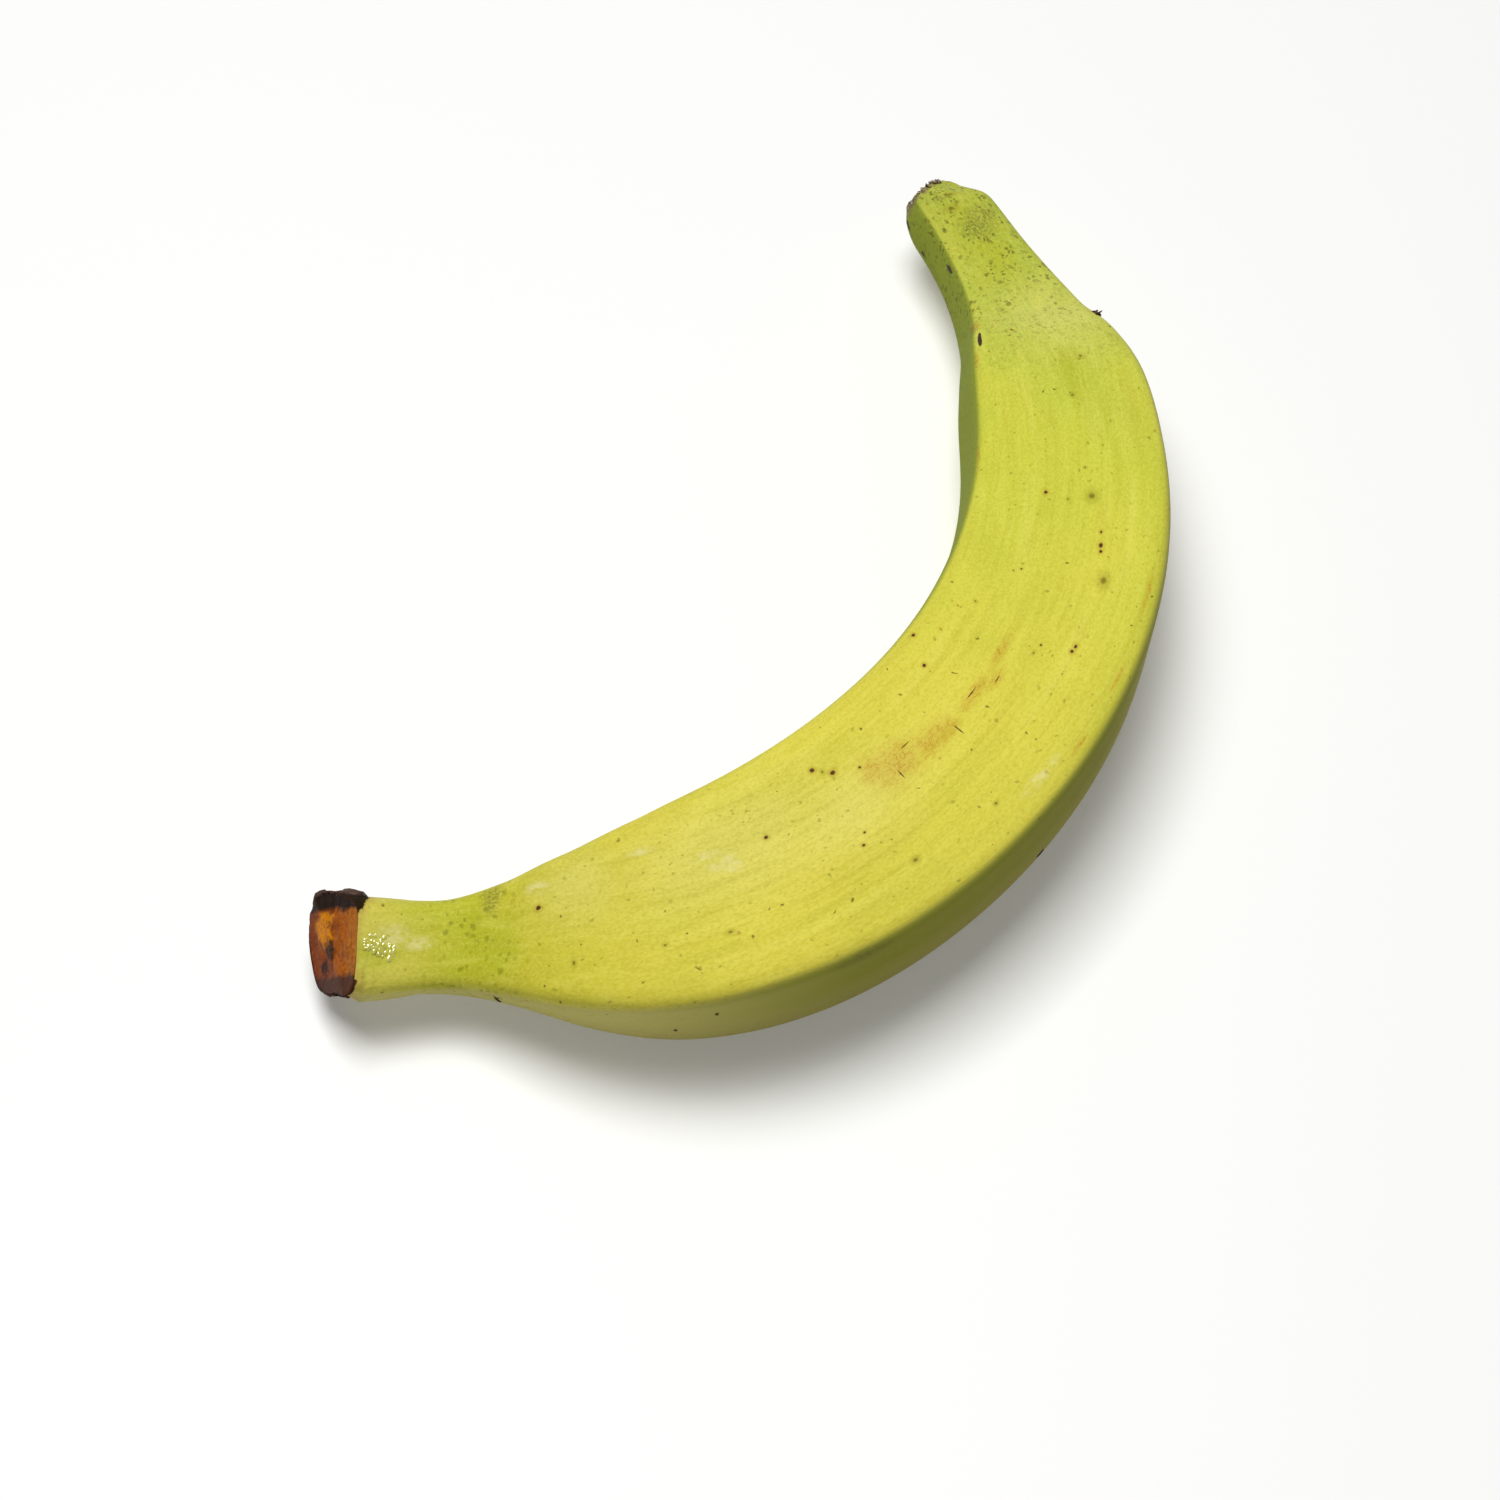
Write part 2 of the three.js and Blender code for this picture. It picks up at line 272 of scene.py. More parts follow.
def tip_taper(from_cut, angle):
    """What is left of the section's radius as the stub rounds off."""
    full_side = 0.5 + 0.5 * np.cos(angle - math.radians(TIP_REACH["facing"]))
    left = TIP_REACH["lean"] + (TIP_REACH["full"] - TIP_REACH["lean"]) * full_side
    return 1 - (1 - left) * into_tip(from_cut) ** TIP_FULLNESS


def cut_face(reach, angle):
    """How far the cut face has sunk, in mm along the fruit."""
    hollow = CUT_HOLLOW
    waves = uneven(hollow["round"] * angle, hollow["across"] * reach)
    return hollow["depth"] * (1 - reach**2) * (1 + hollow["ragged"] * waves)


def tip_face(reach, angle):
    """How far the end of the stub and its scar stand out, in mm along the fruit."""
    distance = np.hypot(reach * np.cos(angle) - SCAR["off"], reach * np.sin(angle))
    waves = uneven(SCAR["round"] * angle, SCAR["across"] * reach)
    scar = SCAR["height"] * np.exp(-((distance / SCAR["radius"]) ** SCAR["steepness"]))
    return TIP_BULGE * (1 - reach**2) + scar * (1 - SCAR["ragged"] + SCAR["ragged"] * waves)


# %% [markdown]
# ## A flat pattern for the peel
# A closed tube of skin could be modelled by hand, but then every change of the form would mean
# pulling points about. A flat pattern is easier: each point knows how far it is from the cut,
# where it is round the fruit and how far out it lies, and those numbers are all the tree needs.

# %% Measures that every laid-out point carries
CHAR_WIDTH = [      # degrees round the section, and mm of blackened peel beside the cut there
    (0, 3.0), (30, 2.0), (48, 0.6), (62, -0.6), (90, -1.0), (115, -0.6), (128, 1.0),
    (145, 4.4), (165, 6.3), (200, 6.0), (250, 5.0), (300, 4.5), (335, 4.0), (360, 3.0),
]
DRIED_WIDTH = [     # degrees round the section, and mm of dried tissue beside the blossom scar there
    (0, 1.0), (60, 0.6), (95, 1.4), (125, 2.2), (150, 3.0), (200, 2.6), (300, 2.0), (360, 1.0),
]
RIDGE_WIDTH = 3.5    # degrees


def ridge_nearness(around):
    """1 on a ridge, falling to 0 a few degrees away."""
    near = np.zeros(np.shape(around))
    for one, two in zip(FLANKS, FLANKS[1:] + FLANKS[:1]):
        ridge = math.degrees(ridge_angle(one, two))
        near = np.maximum(near, nearness(around, ridge, RIDGE_WIDTH))
    return near


def lay_out(name, from_cut, around, reach, faces, raised=0.0, rough=0.0):
    """A flat pattern as a mesh. from_cut is in mm, around in radians, reach 1 on the skin."""
    share = from_cut / LENGTH
    twist = np.radians(through(TWIST, share))
    angle = around + twist
    degrees = np.degrees(around) % 360
    face = np.where(from_cut < LENGTH / 2, cut_face(reach, angle), tip_face(reach, angle))
    measures = {
        "from_cut": from_cut * MM,
        "around": around,
        "reach": reach,
        "half_thickness": through(HALF_THICKNESS, share) * MM,
        "sharpness": through(RIDGE_SHARPNESS, share),
        "twist": twist,
        "taper": tip_taper(from_cut, angle),
        "into_tip": into_tip(from_cut),
        "grown": grown_height(from_cut, angle) * MM,
        "face": np.where(reach < 1, face, 0) * MM,
        "raised": np.broadcast_to(raised, from_cut.shape) * MM,
        "rough": np.broadcast_to(rough, from_cut.shape) * MM,
        "on_cut": (from_cut == 0) & (reach < 1),
        "on_scar": (from_cut == LENGTH) & (reach < 1),
        "char_margin": through(CHAR_WIDTH, degrees) - from_cut,
        "tip_margin": through(DRIED_WIDTH, degrees) - (LENGTH - from_cut),
        "ridge": ridge_nearness(around),
    }
    flat = np.column_stack([from_cut, around * through(HALF_THICKNESS, share), 0 * from_cut]) * MM
    mesh = bpy.data.meshes.new(name)
    mesh.from_pydata(flat.tolist(), [], faces)
    for label, measure in measures.items():
        values = np.ascontiguousarray(measure, dtype=np.float32)
        mesh.attributes.new(label, "FLOAT", "POINT").data.foreach_set("value", values)
    made = bpy.data.objects.new(name, mesh)
    bpy.context.collection.objects.link(made)
    return made


def closed_net(rings, columns):
    """The faces that join a first point, rings of points and a last point into a closed skin."""
    faces = []
    last = 1 + (rings - 1) * columns
    for k in range(columns):
        after = (k + 1) % columns
        faces.append((0, 1 + k, 1 + after))
        for here in range(1, last, columns):
            ahead = here + columns
            faces.append((here + k, ahead + k, ahead + after, here + after))
        faces.append((last + after, last + k, last + columns))
    return faces


# %% The peel's own pattern
END_STEP = 0.45      # mm between rings near both ends
BODY_STEP = 0.8      # mm between rings along the body
END_ZONE = 15.0      # mm of each end that has the closer rings
FACE_RINGS = 14      # rings that close each end
COLUMNS = column_angles(per_flank=30, crowding=0.55)

end_steps = round(END_ZONE / END_STEP)
body_steps = round((LENGTH - 2 * END_ZONE) / BODY_STEP)
near_cut = np.linspace(0, END_ZONE, end_steps, endpoint=False)
body = np.linspace(END_ZONE, LENGTH - END_ZONE, body_steps, endpoint=False)
near_tip = np.linspace(LENGTH - END_ZONE, LENGTH, end_steps + 1)
skin_places = np.concatenate([near_cut, body, near_tip])
face_reach = np.linspace(0, 1, FACE_RINGS + 2)[1:-1]

ring_place = np.concatenate([np.zeros(FACE_RINGS), skin_places, np.full(FACE_RINGS, LENGTH)])
ring_reach = np.concatenate([face_reach, np.ones(len(skin_places)), face_reach[::-1]])
from_cut = np.concatenate([[0], np.repeat(ring_place, len(COLUMNS)), [LENGTH]])
reach = np.concatenate([[0], np.repeat(ring_reach, len(COLUMNS)), [0]])
around = np.concatenate([[0], np.tile(COLUMNS, len(ring_place)), [0]])
faces = closed_net(len(ring_place), len(COLUMNS))

# %% How rough the peel is
SKIN_ROUGH = 0.012       # mm
CROWN_ROUGH = 0.35       # mm on the dried tissue beside the cut
CUT_SHARE = 0.55         # the knife left the cut face smoother than that
CROWN_ZONE, CROWN_FADE = 9, 4        # mm from the cut
TIP_ROUGH = 0.3
TIP_ZONE, TIP_FADE = 3.5, 2.5        # mm from the stub's end

angle = around + np.radians(through(TWIST, from_cut / LENGTH))
on_sides = np.clip(1.6 * np.cos(angle) ** 2 - 0.2, 0, 1)
crown = on_sides * np.clip((CROWN_ZONE - from_cut) / CROWN_FADE, 0, 1)
tip_end = np.clip((from_cut - LENGTH + TIP_ZONE) / TIP_FADE, 0, 1)
on_cut = (from_cut == 0) & (reach < 1)
rough = SKIN_ROUGH + CROWN_ROUGH * np.where(on_cut, CUT_SHARE, crown) + TIP_ROUGH * tip_end
peel_pattern = lay_out("peel_pattern", from_cut, around, reach, faces, rough=rough)
print("flat pattern:", len(from_cut), "points,", len(faces), "faces")

# %% [markdown]
# ## Rolling the pattern round the middle line
# The tree works out each point's place by rule. It combines the flanks into a section, asks the
# middle line for the place at that distance, and goes out and up from it. Then it roughens
# the dried ends with noise and keeps every point above the table. Because the sizes are named
# inputs, the same tree rolls on anything else that is laid out in the same way.

# %% The rolling tree
ROLL_INPUTS = [
    ("Pattern", "Geometry", None),
    ("Middle line", "Object", None),
    ("Finish", "Material", None),
    ("Cut finish", "Material", None),
    ("Scar finish", "Material", None),
    ("Girth", "Float", 1.0),
    ("Upper slant", "Float", math.radians(CUT_SLANT["upper"])),
    ("Lower slant", "Float", math.radians(CUT_SLANT["lower"])),
    ("Cut skew", "Float", math.radians(CUT_SKEW)),
    ("Cut fade", "Float", CUT_FADE * MM),
    ("Tip skew", "Float", math.radians(TIP_SKEW)),
    ("Lobes", "Float", TIP_LOBES["count"]),
    ("Lobe height", "Float", TIP_LOBES["height"] * MM),
    ("First lobe", "Float", math.radians(TIP_LOBES["first"])),
    ("Lump size in mm", "Float", 1.1),
    ("Seed", "Float", 4.0),
    ("Move", "Vector", (0, 0, 0)),
    ("Lowest corner", "Vector", (-1, -1, 0)),
    ("Highest corner", "Vector", (1, 1, 1)),
]
ROLLED = (
    "from_cut", "around", "reach", "half_thickness", "sharpness", "twist", "taper", "into_tip",
    "grown", "face", "raised", "rough", "on_cut", "on_scar",
)
NAMED = "GeometryNodeInputNamedAttribute"


def rolling_tree():
    """Rolls a flat pattern round the fruit's middle line."""
    tree = bpy.data.node_groups.new("roll_round_middle_line", "GeometryNodeTree")
    add = adder(tree)
    for label, kind, value in ROLL_INPUTS:
        socket = tree.interface.new_socket(label, in_out="INPUT", socket_type="NodeSocket" + kind)
        if value is not None:
            socket.default_value = value
    tree.interface.new_socket("Fruit", in_out="OUTPUT", socket_type="NodeSocketGeometry")
    given = tree.nodes.new("NodeGroupInput").outputs
    has = {label: add(NAMED, label, data_type="FLOAT") for label in ROLLED}
    around, reach, from_cut = has["around"], has["reach"], has["from_cut"]

    # the section: the flanks combined into one radius
    total = 0.0
    for flank_angle, flank_reach in FLANKS:
        facing = add("Math.COSINE", add("Math.SUBTRACT", around, math.radians(flank_angle)))
        facing = add("Math.MAXIMUM", add("Math.DIVIDE", facing, flank_reach), 0.0)
        total = add("Math.ADD", add("Math.POWER", facing, has["sharpness"]), total)
    radius = add("Math.POWER", total, add("Math.DIVIDE", -1.0, has["sharpness"]))
    radius = add("Math.MULTIPLY", radius, has["half_thickness"])
    radius = add("Math.MULTIPLY", radius, given["Girth"])
    radius = add("Math.MULTIPLY_ADD", radius, has["taper"], has["grown"])
    skin = add("Math.MULTIPLY_ADD", radius, reach, has["raised"])
    angle = add("Math.ADD", around, has["twist"])
    outwards = add("Math.MULTIPLY", add("Math.COSINE", angle), skin)
    height = add("Math.MULTIPLY", add("Math.SINE", angle), skin)

    # the slanting cut: each lengthwise line of points starts at its own place
    fade = add("Math.SUBTRACT", 1.0, add("Math.DIVIDE", from_cut, given["Cut fade"]))
    fade = add("Math.POWER", add("Math.MAXIMUM", fade, 0.0), 2.0)
    lean = 0.0
    for label, side in (("Upper slant", "Math.MAXIMUM"), ("Lower slant", "Math.MINIMUM")):
        slant = add("Math.TANGENT", given[label])
        lean = add("Math.MULTIPLY_ADD", add(side, height, 0.0), slant, lean)
    lean = add("Math.MULTIPLY_ADD", outwards, add("Math.TANGENT", given["Cut skew"]), lean)
    place = add("Math.MULTIPLY_ADD", lean, fade, from_cut)

    # the stub's end turns outwards and is drawn up into lobes
    lobes = add("Math.SUBTRACT", angle, given["First lobe"])
    lobes = add("Math.COSINE", add("Math.MULTIPLY", lobes, given["Lobes"]))
    lobes = add("Math.MULTIPLY", add("Math.MULTIPLY", lobes, given["Lobe height"]), reach)
    tilt = add("Math.MULTIPLY", add("Math.TANGENT", given["Tip skew"]), outwards)
    drawn = add("Math.SUBTRACT", lobes, tilt)
    forwards = add("Math.MULTIPLY_ADD", drawn, add("Math.POWER", has["into_tip"], 2.0), has["face"])

    # the place on the middle line, and the directions there
    line = add("GeometryNodeObjectInfo", given["Middle line"], out="Geometry")
    on_line = add(
        "GeometryNodeSampleCurve",
        named={
            "Curves": add("GeometryNodeMeshToCurve", line),
            "Value": add(NAMED, "line_state", data_type="FLOAT_VECTOR"),
            "Length": add("Math.ADD", place, LEAD_IN * MM),
        },
        out="Position", mode="LENGTH", data_type="FLOAT_VECTOR",
    )
    heading, lift, climb = add("SeparateXYZ", on_line.node.outputs["Value"]).node.outputs
    cosine = add("Math.COSINE", heading)
    sine = add("Math.SINE", heading)
    along = add("VectorMath.NORMALIZE", add("CombineXYZ", cosine, sine, climb))
    out = add("CombineXYZ", sine, add("Math.MULTIPLY", cosine, -1.0), 0.0)
    up = add("VectorMath.CROSS_PRODUCT", out, along)
    spot = add("VectorMath.ADD", on_line, add("CombineXYZ", 0.0, 0.0, lift))
    spot = add("VectorMath.ADD", spot, given["Move"])
    for direction, distance in ((out, outwards), (up, height), (along, forwards)):
        step = add("VectorMath.SCALE", direction, named={"Scale": distance})
        spot = add("VectorMath.ADD", spot, step)
    fruit = add("GeometryNodeSetPosition", given["Pattern"], named={"Position": spot})

    # where each point would be on a straight fruit, for patterns that follow the skin
    across = add("Math.MULTIPLY", add("Math.COSINE", around), skin)
    above = add("Math.MULTIPLY", add("Math.SINE", around), skin)
    straight = add("CombineXYZ", place, across, above)
    straight = add("VectorMath.SCALE", straight, named={"Scale": 1 / MM})
    fruit = add(
        "GeometryNodeStoreNamedAttribute", fruit, named={"Name": "straight_mm", "Value": straight},
        data_type="FLOAT_VECTOR", domain="POINT",
    )

    # dried tissue is lumpy; the lumps only go inwards, so the fruit keeps its size
    fineness = add("Math.DIVIDE", 1.0, given["Lump size in mm"])
    lumpy = {"Vector": straight, "W": given["Seed"], "Scale": fineness, "Detail": 3.0, "Roughness": 0.6}
    lumps = add("TexNoise", named=lumpy, noise_dimensions="4D")
    sunk = add("Math.MULTIPLY", add("Math.MULTIPLY", lumps, -2.0), has["rough"])
    sunk = add("VectorMath.SCALE", add("GeometryNodeInputNormal"), named={"Scale": sunk})
    fruit = add("GeometryNodeSetPosition", fruit, named={"Offset": sunk})

    # nothing goes through the table or out of the solid's box
    here = add("VectorMath.MAXIMUM", add("GeometryNodeInputPosition"), given["Lowest corner"])
    here = add("VectorMath.MINIMUM", here, given["Highest corner"])
    fruit = add("GeometryNodeSetPosition", fruit, named={"Position": here})
    fruit = add("GeometryNodeSetShadeSmooth", fruit)
    fruit = add("GeometryNodeRealizeInstances", fruit)

    # the finishes: peel, then the cut face and the blossom scar over it
    fruit = add("GeometryNodeSetMaterial", fruit, named={"Material": given["Finish"]})
    for end, label in ((has["on_cut"], "Cut finish"), (has["on_scar"], "Scar finish")):
        chosen = add("FunctionNodeCompare.GREATER_THAN", end, 0.4, data_type="FLOAT")
        chosen = {"Selection": chosen, "Material": given[label]}
        fruit = add("GeometryNodeSetMaterial", fruit, named=chosen)
    add("NodeGroupOutput", fruit)
    return tree


ROLL = rolling_tree()
print("rolling tree:", len(ROLL.nodes), "nodes")


def roll(pattern, **settings):
    """A plain mesh of what the tree makes of a flat pattern, with any named inputs changed."""
    modifier = pattern.modifiers.new("roll", "NODES")
    modifier.node_group = ROLL
    inputs = {item.name: item.identifier for item in ROLL.interface.items_tree}
    for label, value in settings.items():
        modifier[inputs[label.replace("_", " ")]] = value
    shape = pattern.evaluated_get(bpy.context.evaluated_depsgraph_get())
    mesh = bpy.data.meshes.new_from_object(shape)
    pattern.modifiers.remove(modifier)
    return mesh


def piece(pattern, mesh):
    """The finished object with that mesh, which takes the place of its pattern."""
    made = bpy.data.objects.new(pattern.name.removesuffix("_pattern"), mesh)
    bpy.context.collection.objects.link(made)
    flat = pattern.data
    bpy.data.objects.remove(pattern)
    bpy.data.meshes.remove(flat)
    return made


# %% [markdown]
# ## The peel's finish
# A plantain's peel is living skin under a thin coat of wax. The wax gives a broad, soft gloss,
# while the skin below it shows long fibres, a fine grain of pores and slow changes from yellow
# to green. All patterns are drawn on the straightened fruit, in millimetres, so they follow the
# bend, and grain that runs lengthwise is simply squeezed less along the fruit than across it.

# %% Helpers for patterns on the skin
SMOOTH = {"interpolation_type": "SMOOTHSTEP"}
FAR = 9.0             # further from a spot than any mask reaches
SPOT_EDGE = 1.5       # how far a spot reaches, in half sizes; a noise is added to it


def speckled(add, straight, size, stretch=1.0, detail=3.0, seed=0.0):
    """A noise on the straightened fruit whose lumps are about size mm wide, stretched along it."""
    scaled = add("VectorMath.MULTIPLY", straight, (1 / (size * stretch), 1 / size, 1 / size))
    lumpy = {"Vector": scaled, "W": seed, "Scale": 1.0, "Detail": detail, "Roughness": 0.55}
    return add("TexNoise", named=lumpy, noise_dimensions="4D")


def near_any(add, where, centres, wobble, edge, blur):
    """A mask that is 1 at each (centre, half sizes), and fades over an edge that wobbles."""
    nearest = FAR
    for centre, halves in centres:
        away = add("VectorMath.SUBTRACT", where, centre)
        away = add("VectorMath.MULTIPLY", away, [1 / half for half in halves])
        nearest = add("Math.MINIMUM", add("VectorMath.LENGTH", away, out="Value"), nearest)
    nearest = add("Math.ADD", wobble, nearest)
    return add("MapRange", nearest, edge - blur, edge + blur, 1.0, 0.0, **SMOOTH)


def spots(add, straight, places, wobble, blur, grown=1.0):
    """A mask of spots on the skin, each (place, around, half length, half width)."""
    centres = []
    for place, around_degrees, half_length, half_width in places:
        around = math.radians(around_degrees)
        radius = float(skin_radius(np.array(place / LENGTH), around))
        centre = (place, radius * math.cos(around), radius * math.sin(around))
        centres.append((centre, (grown * half_length, grown * half_width, grown * half_width)))
    return near_any(add, straight, centres, wobble, SPOT_EDGE, blur)


def flecks(add, straight, spacing, size, share, seed, stretch):
    """A mask of small specks: one in each cell of about spacing mm, and only in a share of them."""
    scale = (1 / (spacing * stretch), 1 / spacing, 1 / spacing)
    shift = (1.3 * seed, 2.9 * seed, 0.7 * seed)
    cells = add("VectorMath.MULTIPLY_ADD", straight, scale, shift)
    cell = add("TexVoronoi", named={"Vector": cells, "Scale": 1.0, "Randomness": 1.0})
    chance = add("SeparateColor", cell.node.outputs["Color"])
    kept = add("Math.LESS_THAN", chance, share)
    width = add("MapRange", chance.node.outputs[1], 0.0, 1.0, 0.5 * size / spacing, size / spacing)
    speck = add("MapRange", cell, add("Math.MULTIPLY", width, 0.5), width, 1.0, 0.0)
    return add("Math.MULTIPLY", speck, kept)


def overlap(add, mask, *others):
    """A mask that shows only where all of these do."""
    for other in others:
        mask = add("Math.MULTIPLY", mask, other)
    return mask


def coloured(add, colour, layers):
    """Lays layers over a colour, one after another. A layer is a mask, a hex colour and a
    strength, or a pattern, the values where it starts and is full, a hex colour and a strength."""
    for mask, *span, hex_colour, strength in layers:
        if span:
            mask = add("MapRange", mask, *span)
        share = add("Math.MULTIPLY", mask, strength, use_clamp=True)
        over = {0: share, 6: colour, 7: linear(hex_colour)}
        colour = add("Mix", named=over, out=2, data_type="RGBA")
    return colour


def new_material(name, shade):
    """A material with that name. shade adds its patterns, and returns its shader's inputs."""
    made = bpy.data.materials.new(name)
    made.use_nodes = True
    made.node_tree.nodes.clear()
    add = adder(made.node_tree)
    add("OutputMaterial", add("BsdfPrincipled", named=shade(add)))
    print(name + ":", len(made.node_tree.nodes), "nodes")
    return made


# %% [markdown]
# ## Patterns that the whole skin shares
# Slow clouds of green, long fibres, fine grain and the ragged edges of marks are all noise, and
# only the size of its lumps and their stretch along the fruit tell them apart.

# %% The skin's patterns
NOISES = {      # width of its lumps in mm, stretch along the fruit, detail, seed
    "cloudy": (16, 1.8, 3, 1), "patchy": (5, 1.6, 3, 2), "fibres": (0.9, 30, 3, 3),
    "broad_fibres": (2.2, 22, 3, 4), "grain": (0.45, 1.5, 2, 5), "wobble": (0.8, 1, 2, 6),
    "tatter": (1.4, 1.5, 4, 7), "veins": (1.1, 1.8, 3, 8), "clusters": (4.2, 1.5, 2, 9),
}
STRAIGHT = {"attribute_name": "straight_mm", "out": "Vector"}
SHIFT = 9.0      # mm that a change of ripeness is clouded by


def skin_patterns(add):
    """Where a point is on the straightened fruit, and the noises there."""
    straight = add("Attribute", **STRAIGHT)
    place, across, above = add("SeparateXYZ", straight).node.outputs
    skin = {label: speckled(add, straight, *sizes) for label, sizes in NOISES.items()}
    shifted = add("MapRange", skin["cloudy"], 0.3, 0.7, -SHIFT, SHIFT)
    return SimpleNamespace(
        **skin,
        straight=straight,
        place=place,
        across=across,
        around=add("Math.ARCTAN2", above, across),
        shifted=add("Math.ADD", place, shifted),
        dark_grain=add("MapRange", skin["grain"], 0.48, 0.72),
    )


# %% Ripeness and fibres
RIPENESS = [      # place in mm and colour of the skin there
    (0, "#CFC75A"), (26, "#BDBA2E"), (58, "#DACE4A"), (120, "#DED44F"),
    (195, "#CACE45"), (240, "#BBC64C"), (276, "#A2B040"),
]
# Spots are given by place in mm, degrees round the fruit, half length and half width in mm.
# Painted sheen: broad pale patches that stand for the wax's soft gloss on the top flank.
PAINTED_SHEEN_PATCHES = [(76, 104, 17, 8), (96, 92, 12, 6), (48, 112, 7, 6), (233, 66, 11, 9)]
GREEN_BLOTCHES = [
    (214.5, 78, 6.0, 3.0), (258, 84, 14, 4), (8.5, 76, 3.5, 2.6), (21, 122, 7, 5),
    (25, 100, 7, 6), (30, 80, 7, 5), (24, 60, 6, 4), (33, 62, 5, 3),
]


def ripe_colour(add, skin):
    """Green to yellow to green along the fruit."""
    colour = add("ValToRGB", add("Math.MULTIPLY", skin.shifted, 1 / LENGTH))
    ramp = colour.node.color_ramp
    for stop, (place, hex_colour) in enumerate(RIPENESS):
        if stop > 1:
            ramp.elements.new(place / LENGTH)
        ramp.elements[stop].position = place / LENGTH
        ramp.elements[stop].color = linear(hex_colour)
    return colour


def slow_layers(add, skin):
    """Clouds, painted sheen, blotches and fibres."""
    return [
        (skin.cloudy, 0.5, 0.75, "#B4BB34", 0.30), (skin.cloudy, 0.5, 0.25, "#E4D24C", 0.30),
        (skin.patchy, 0.52, 0.75, "#B7B236", 0.20),
        # painted highlight: pale sheen patches
        (spots(add, skin.straight, PAINTED_SHEEN_PATCHES, skin.patchy, 1.1), "#E9E28A", 0.35),
        (spots(add, skin.straight, GREEN_BLOTCHES, skin.cloudy, 0.9), "#A9B426", 0.55),
        (skin.fibres, 0.5, 0.72, "#B2A930", 0.32), (skin.broad_fibres, 0.5, 0.7, "#E8E06A", 0.30),
        (skin.broad_fibres, 0.5, 0.3, "#BDB23C", 0.28), (skin.grain, 0.5, 0.3, "#EDE67A", 0.22),
    ]


# %% [markdown]
# ## The flanks at the sides
# The flanks that face sideways are duller, darker and greener than the one on top: partly the
# peel's own greener tone, and partly painted shade, with painted bounce light from the floor on the
# lower outer flank. The change is sharp at a ridge and slow towards the table, so each flank has its
# own masks of the angle round the fruit, and masks of the place keep the deepest green and painted
# shade to the bend.

# %% The side flanks, with painted shade and painted bounce light
# These masks place painted shade on the side flanks, with a darker band of it under the outer ridge, and
# painted bounce light from the floor on the lower outer flank.
# Each pair is where a mask starts and where it is full, in degrees round the fruit ...
OUTER_RIDGE = np.radians((31, 40))       # the ridge itself, at the neck and along the body
PAST_RIDGE, SHADE_UNDER_RIDGE = np.radians((-1, -6)), np.radians((-9, -4))
OFF_FLOOR, OUTER_BOUNCE_LIGHT = np.radians((-115, -50)), np.radians((12, -28))
INNER_EDGE, INNER_LOW = np.radians((133.5, 136.5)), np.radians((-160, -168))
# ... or in mm along it.
NECK_END, DEEPEST_GREEN_AND_SHADE, PAST_BEND, ON_BEND = (25, 75), (46, 92), (135, 185), (90, 172)


def outer_flank_tone_and_shade(add, skin):
    """The outer flank's greener tone with painted shade and bounce light, and the part it takes up."""
    ridge = add("MapRange", skin.place, *NECK_END, *OUTER_RIDGE)
    past_ridge = add("Math.SUBTRACT", skin.around, ridge)
    side = add("MapRange", past_ridge, *PAST_RIDGE)
    towards_floor = add("MapRange", skin.around, *OFF_FLOOR)
    side = overlap(add, side, towards_floor)
    shade_under_ridge = add("MapRange", past_ridge, *SHADE_UNDER_RIDGE)
    low = add("MapRange", skin.around, *OUTER_BOUNCE_LIGHT)
    from_neck = add("MapRange", skin.place, *DEEPEST_GREEN_AND_SHADE, **SMOOTH)
    past_bend = add("MapRange", skin.place, *PAST_BEND, 1.0, 0.3, **SMOOTH)
    dark = overlap(add, side, from_neck, past_bend)
    shade_under_ridge = overlap(add, shade_under_ridge, side, past_bend, from_neck)
    low = overlap(add, low, towards_floor)
    # painted shade: the flank duller, darker from the neck on, and a green band under the ridge; the
    # greener tone is partly the peel's own
    layers = [(side, "#BCB472", 0.8), (dark, "#7E7E1E", 0.92), (shade_under_ridge, "#87980C", 0.6)]
    # painted bounce light: the lower flank a lighter tan, as if lit from the floor
    return [*layers, (low, "#B0A564", 0.7)], side


def inner_flank_tone_and_shade(add, skin):
    """The inner flank's greener tone with painted shade, and the part of the surface it takes up."""
    side = add("MapRange", skin.around, *INNER_EDGE)
    low = add("MapRange", skin.around, *INNER_LOW)
    on_bend = add("MapRange", skin.shifted, *ON_BEND, 0.1, 1.0, **SMOOTH)
    side = overlap(add, add("Math.MAXIMUM", side, low), on_bend)
    # painted shade: the inner flank past the bend darker and greener, its grain darker still; the greener
    # tone is partly the peel's own
    return [(side, "#889634", 0.95), (overlap(add, skin.dark_grain, side), "#4E5A22", 0.45)], side


# %% [markdown]
# ## Marks on the skin
# A fruit that has been carried about is never clean. Wind rubs it russet, its neighbours bruise
# and scrape it, and pores show as dark specks. The marks that catch the eye have places of their
# own, and the smallest specks are drawn at random by the cells of a Voronoi texture.

# %% Places of the marks
DARK_DOTS = [
    (95.75, 118.5, 0.42, 0.36), (98.75, 112.5, 0.5, 0.4), (82, 101.5, 0.34, 0.3),
    (129.2, 120.5, 0.42, 0.34), (134.2, 131, 0.42, 0.32), (182.5, 100, 0.42, 0.36),
    (170.6, 63, 0.36, 0.3), (171.9, 63.5, 0.5, 0.36), (148, 60.7, 0.34, 0.3),
    (149.2, 60.1, 0.4, 0.3), (161.6, 103.7, 0.2, 0.2), (41.2, 102, 0.42, 0.42),
    (95.2, 71.7, 0.25, 0.22), (96.6, 77, 0.22, 0.2), (103.5, 107, 0.26, 0.2),
    (146.5, 76, 0.22, 0.2), (229, 110, 0.3, 0.22), (174.9, 64.5, 0.24, 0.2),
]
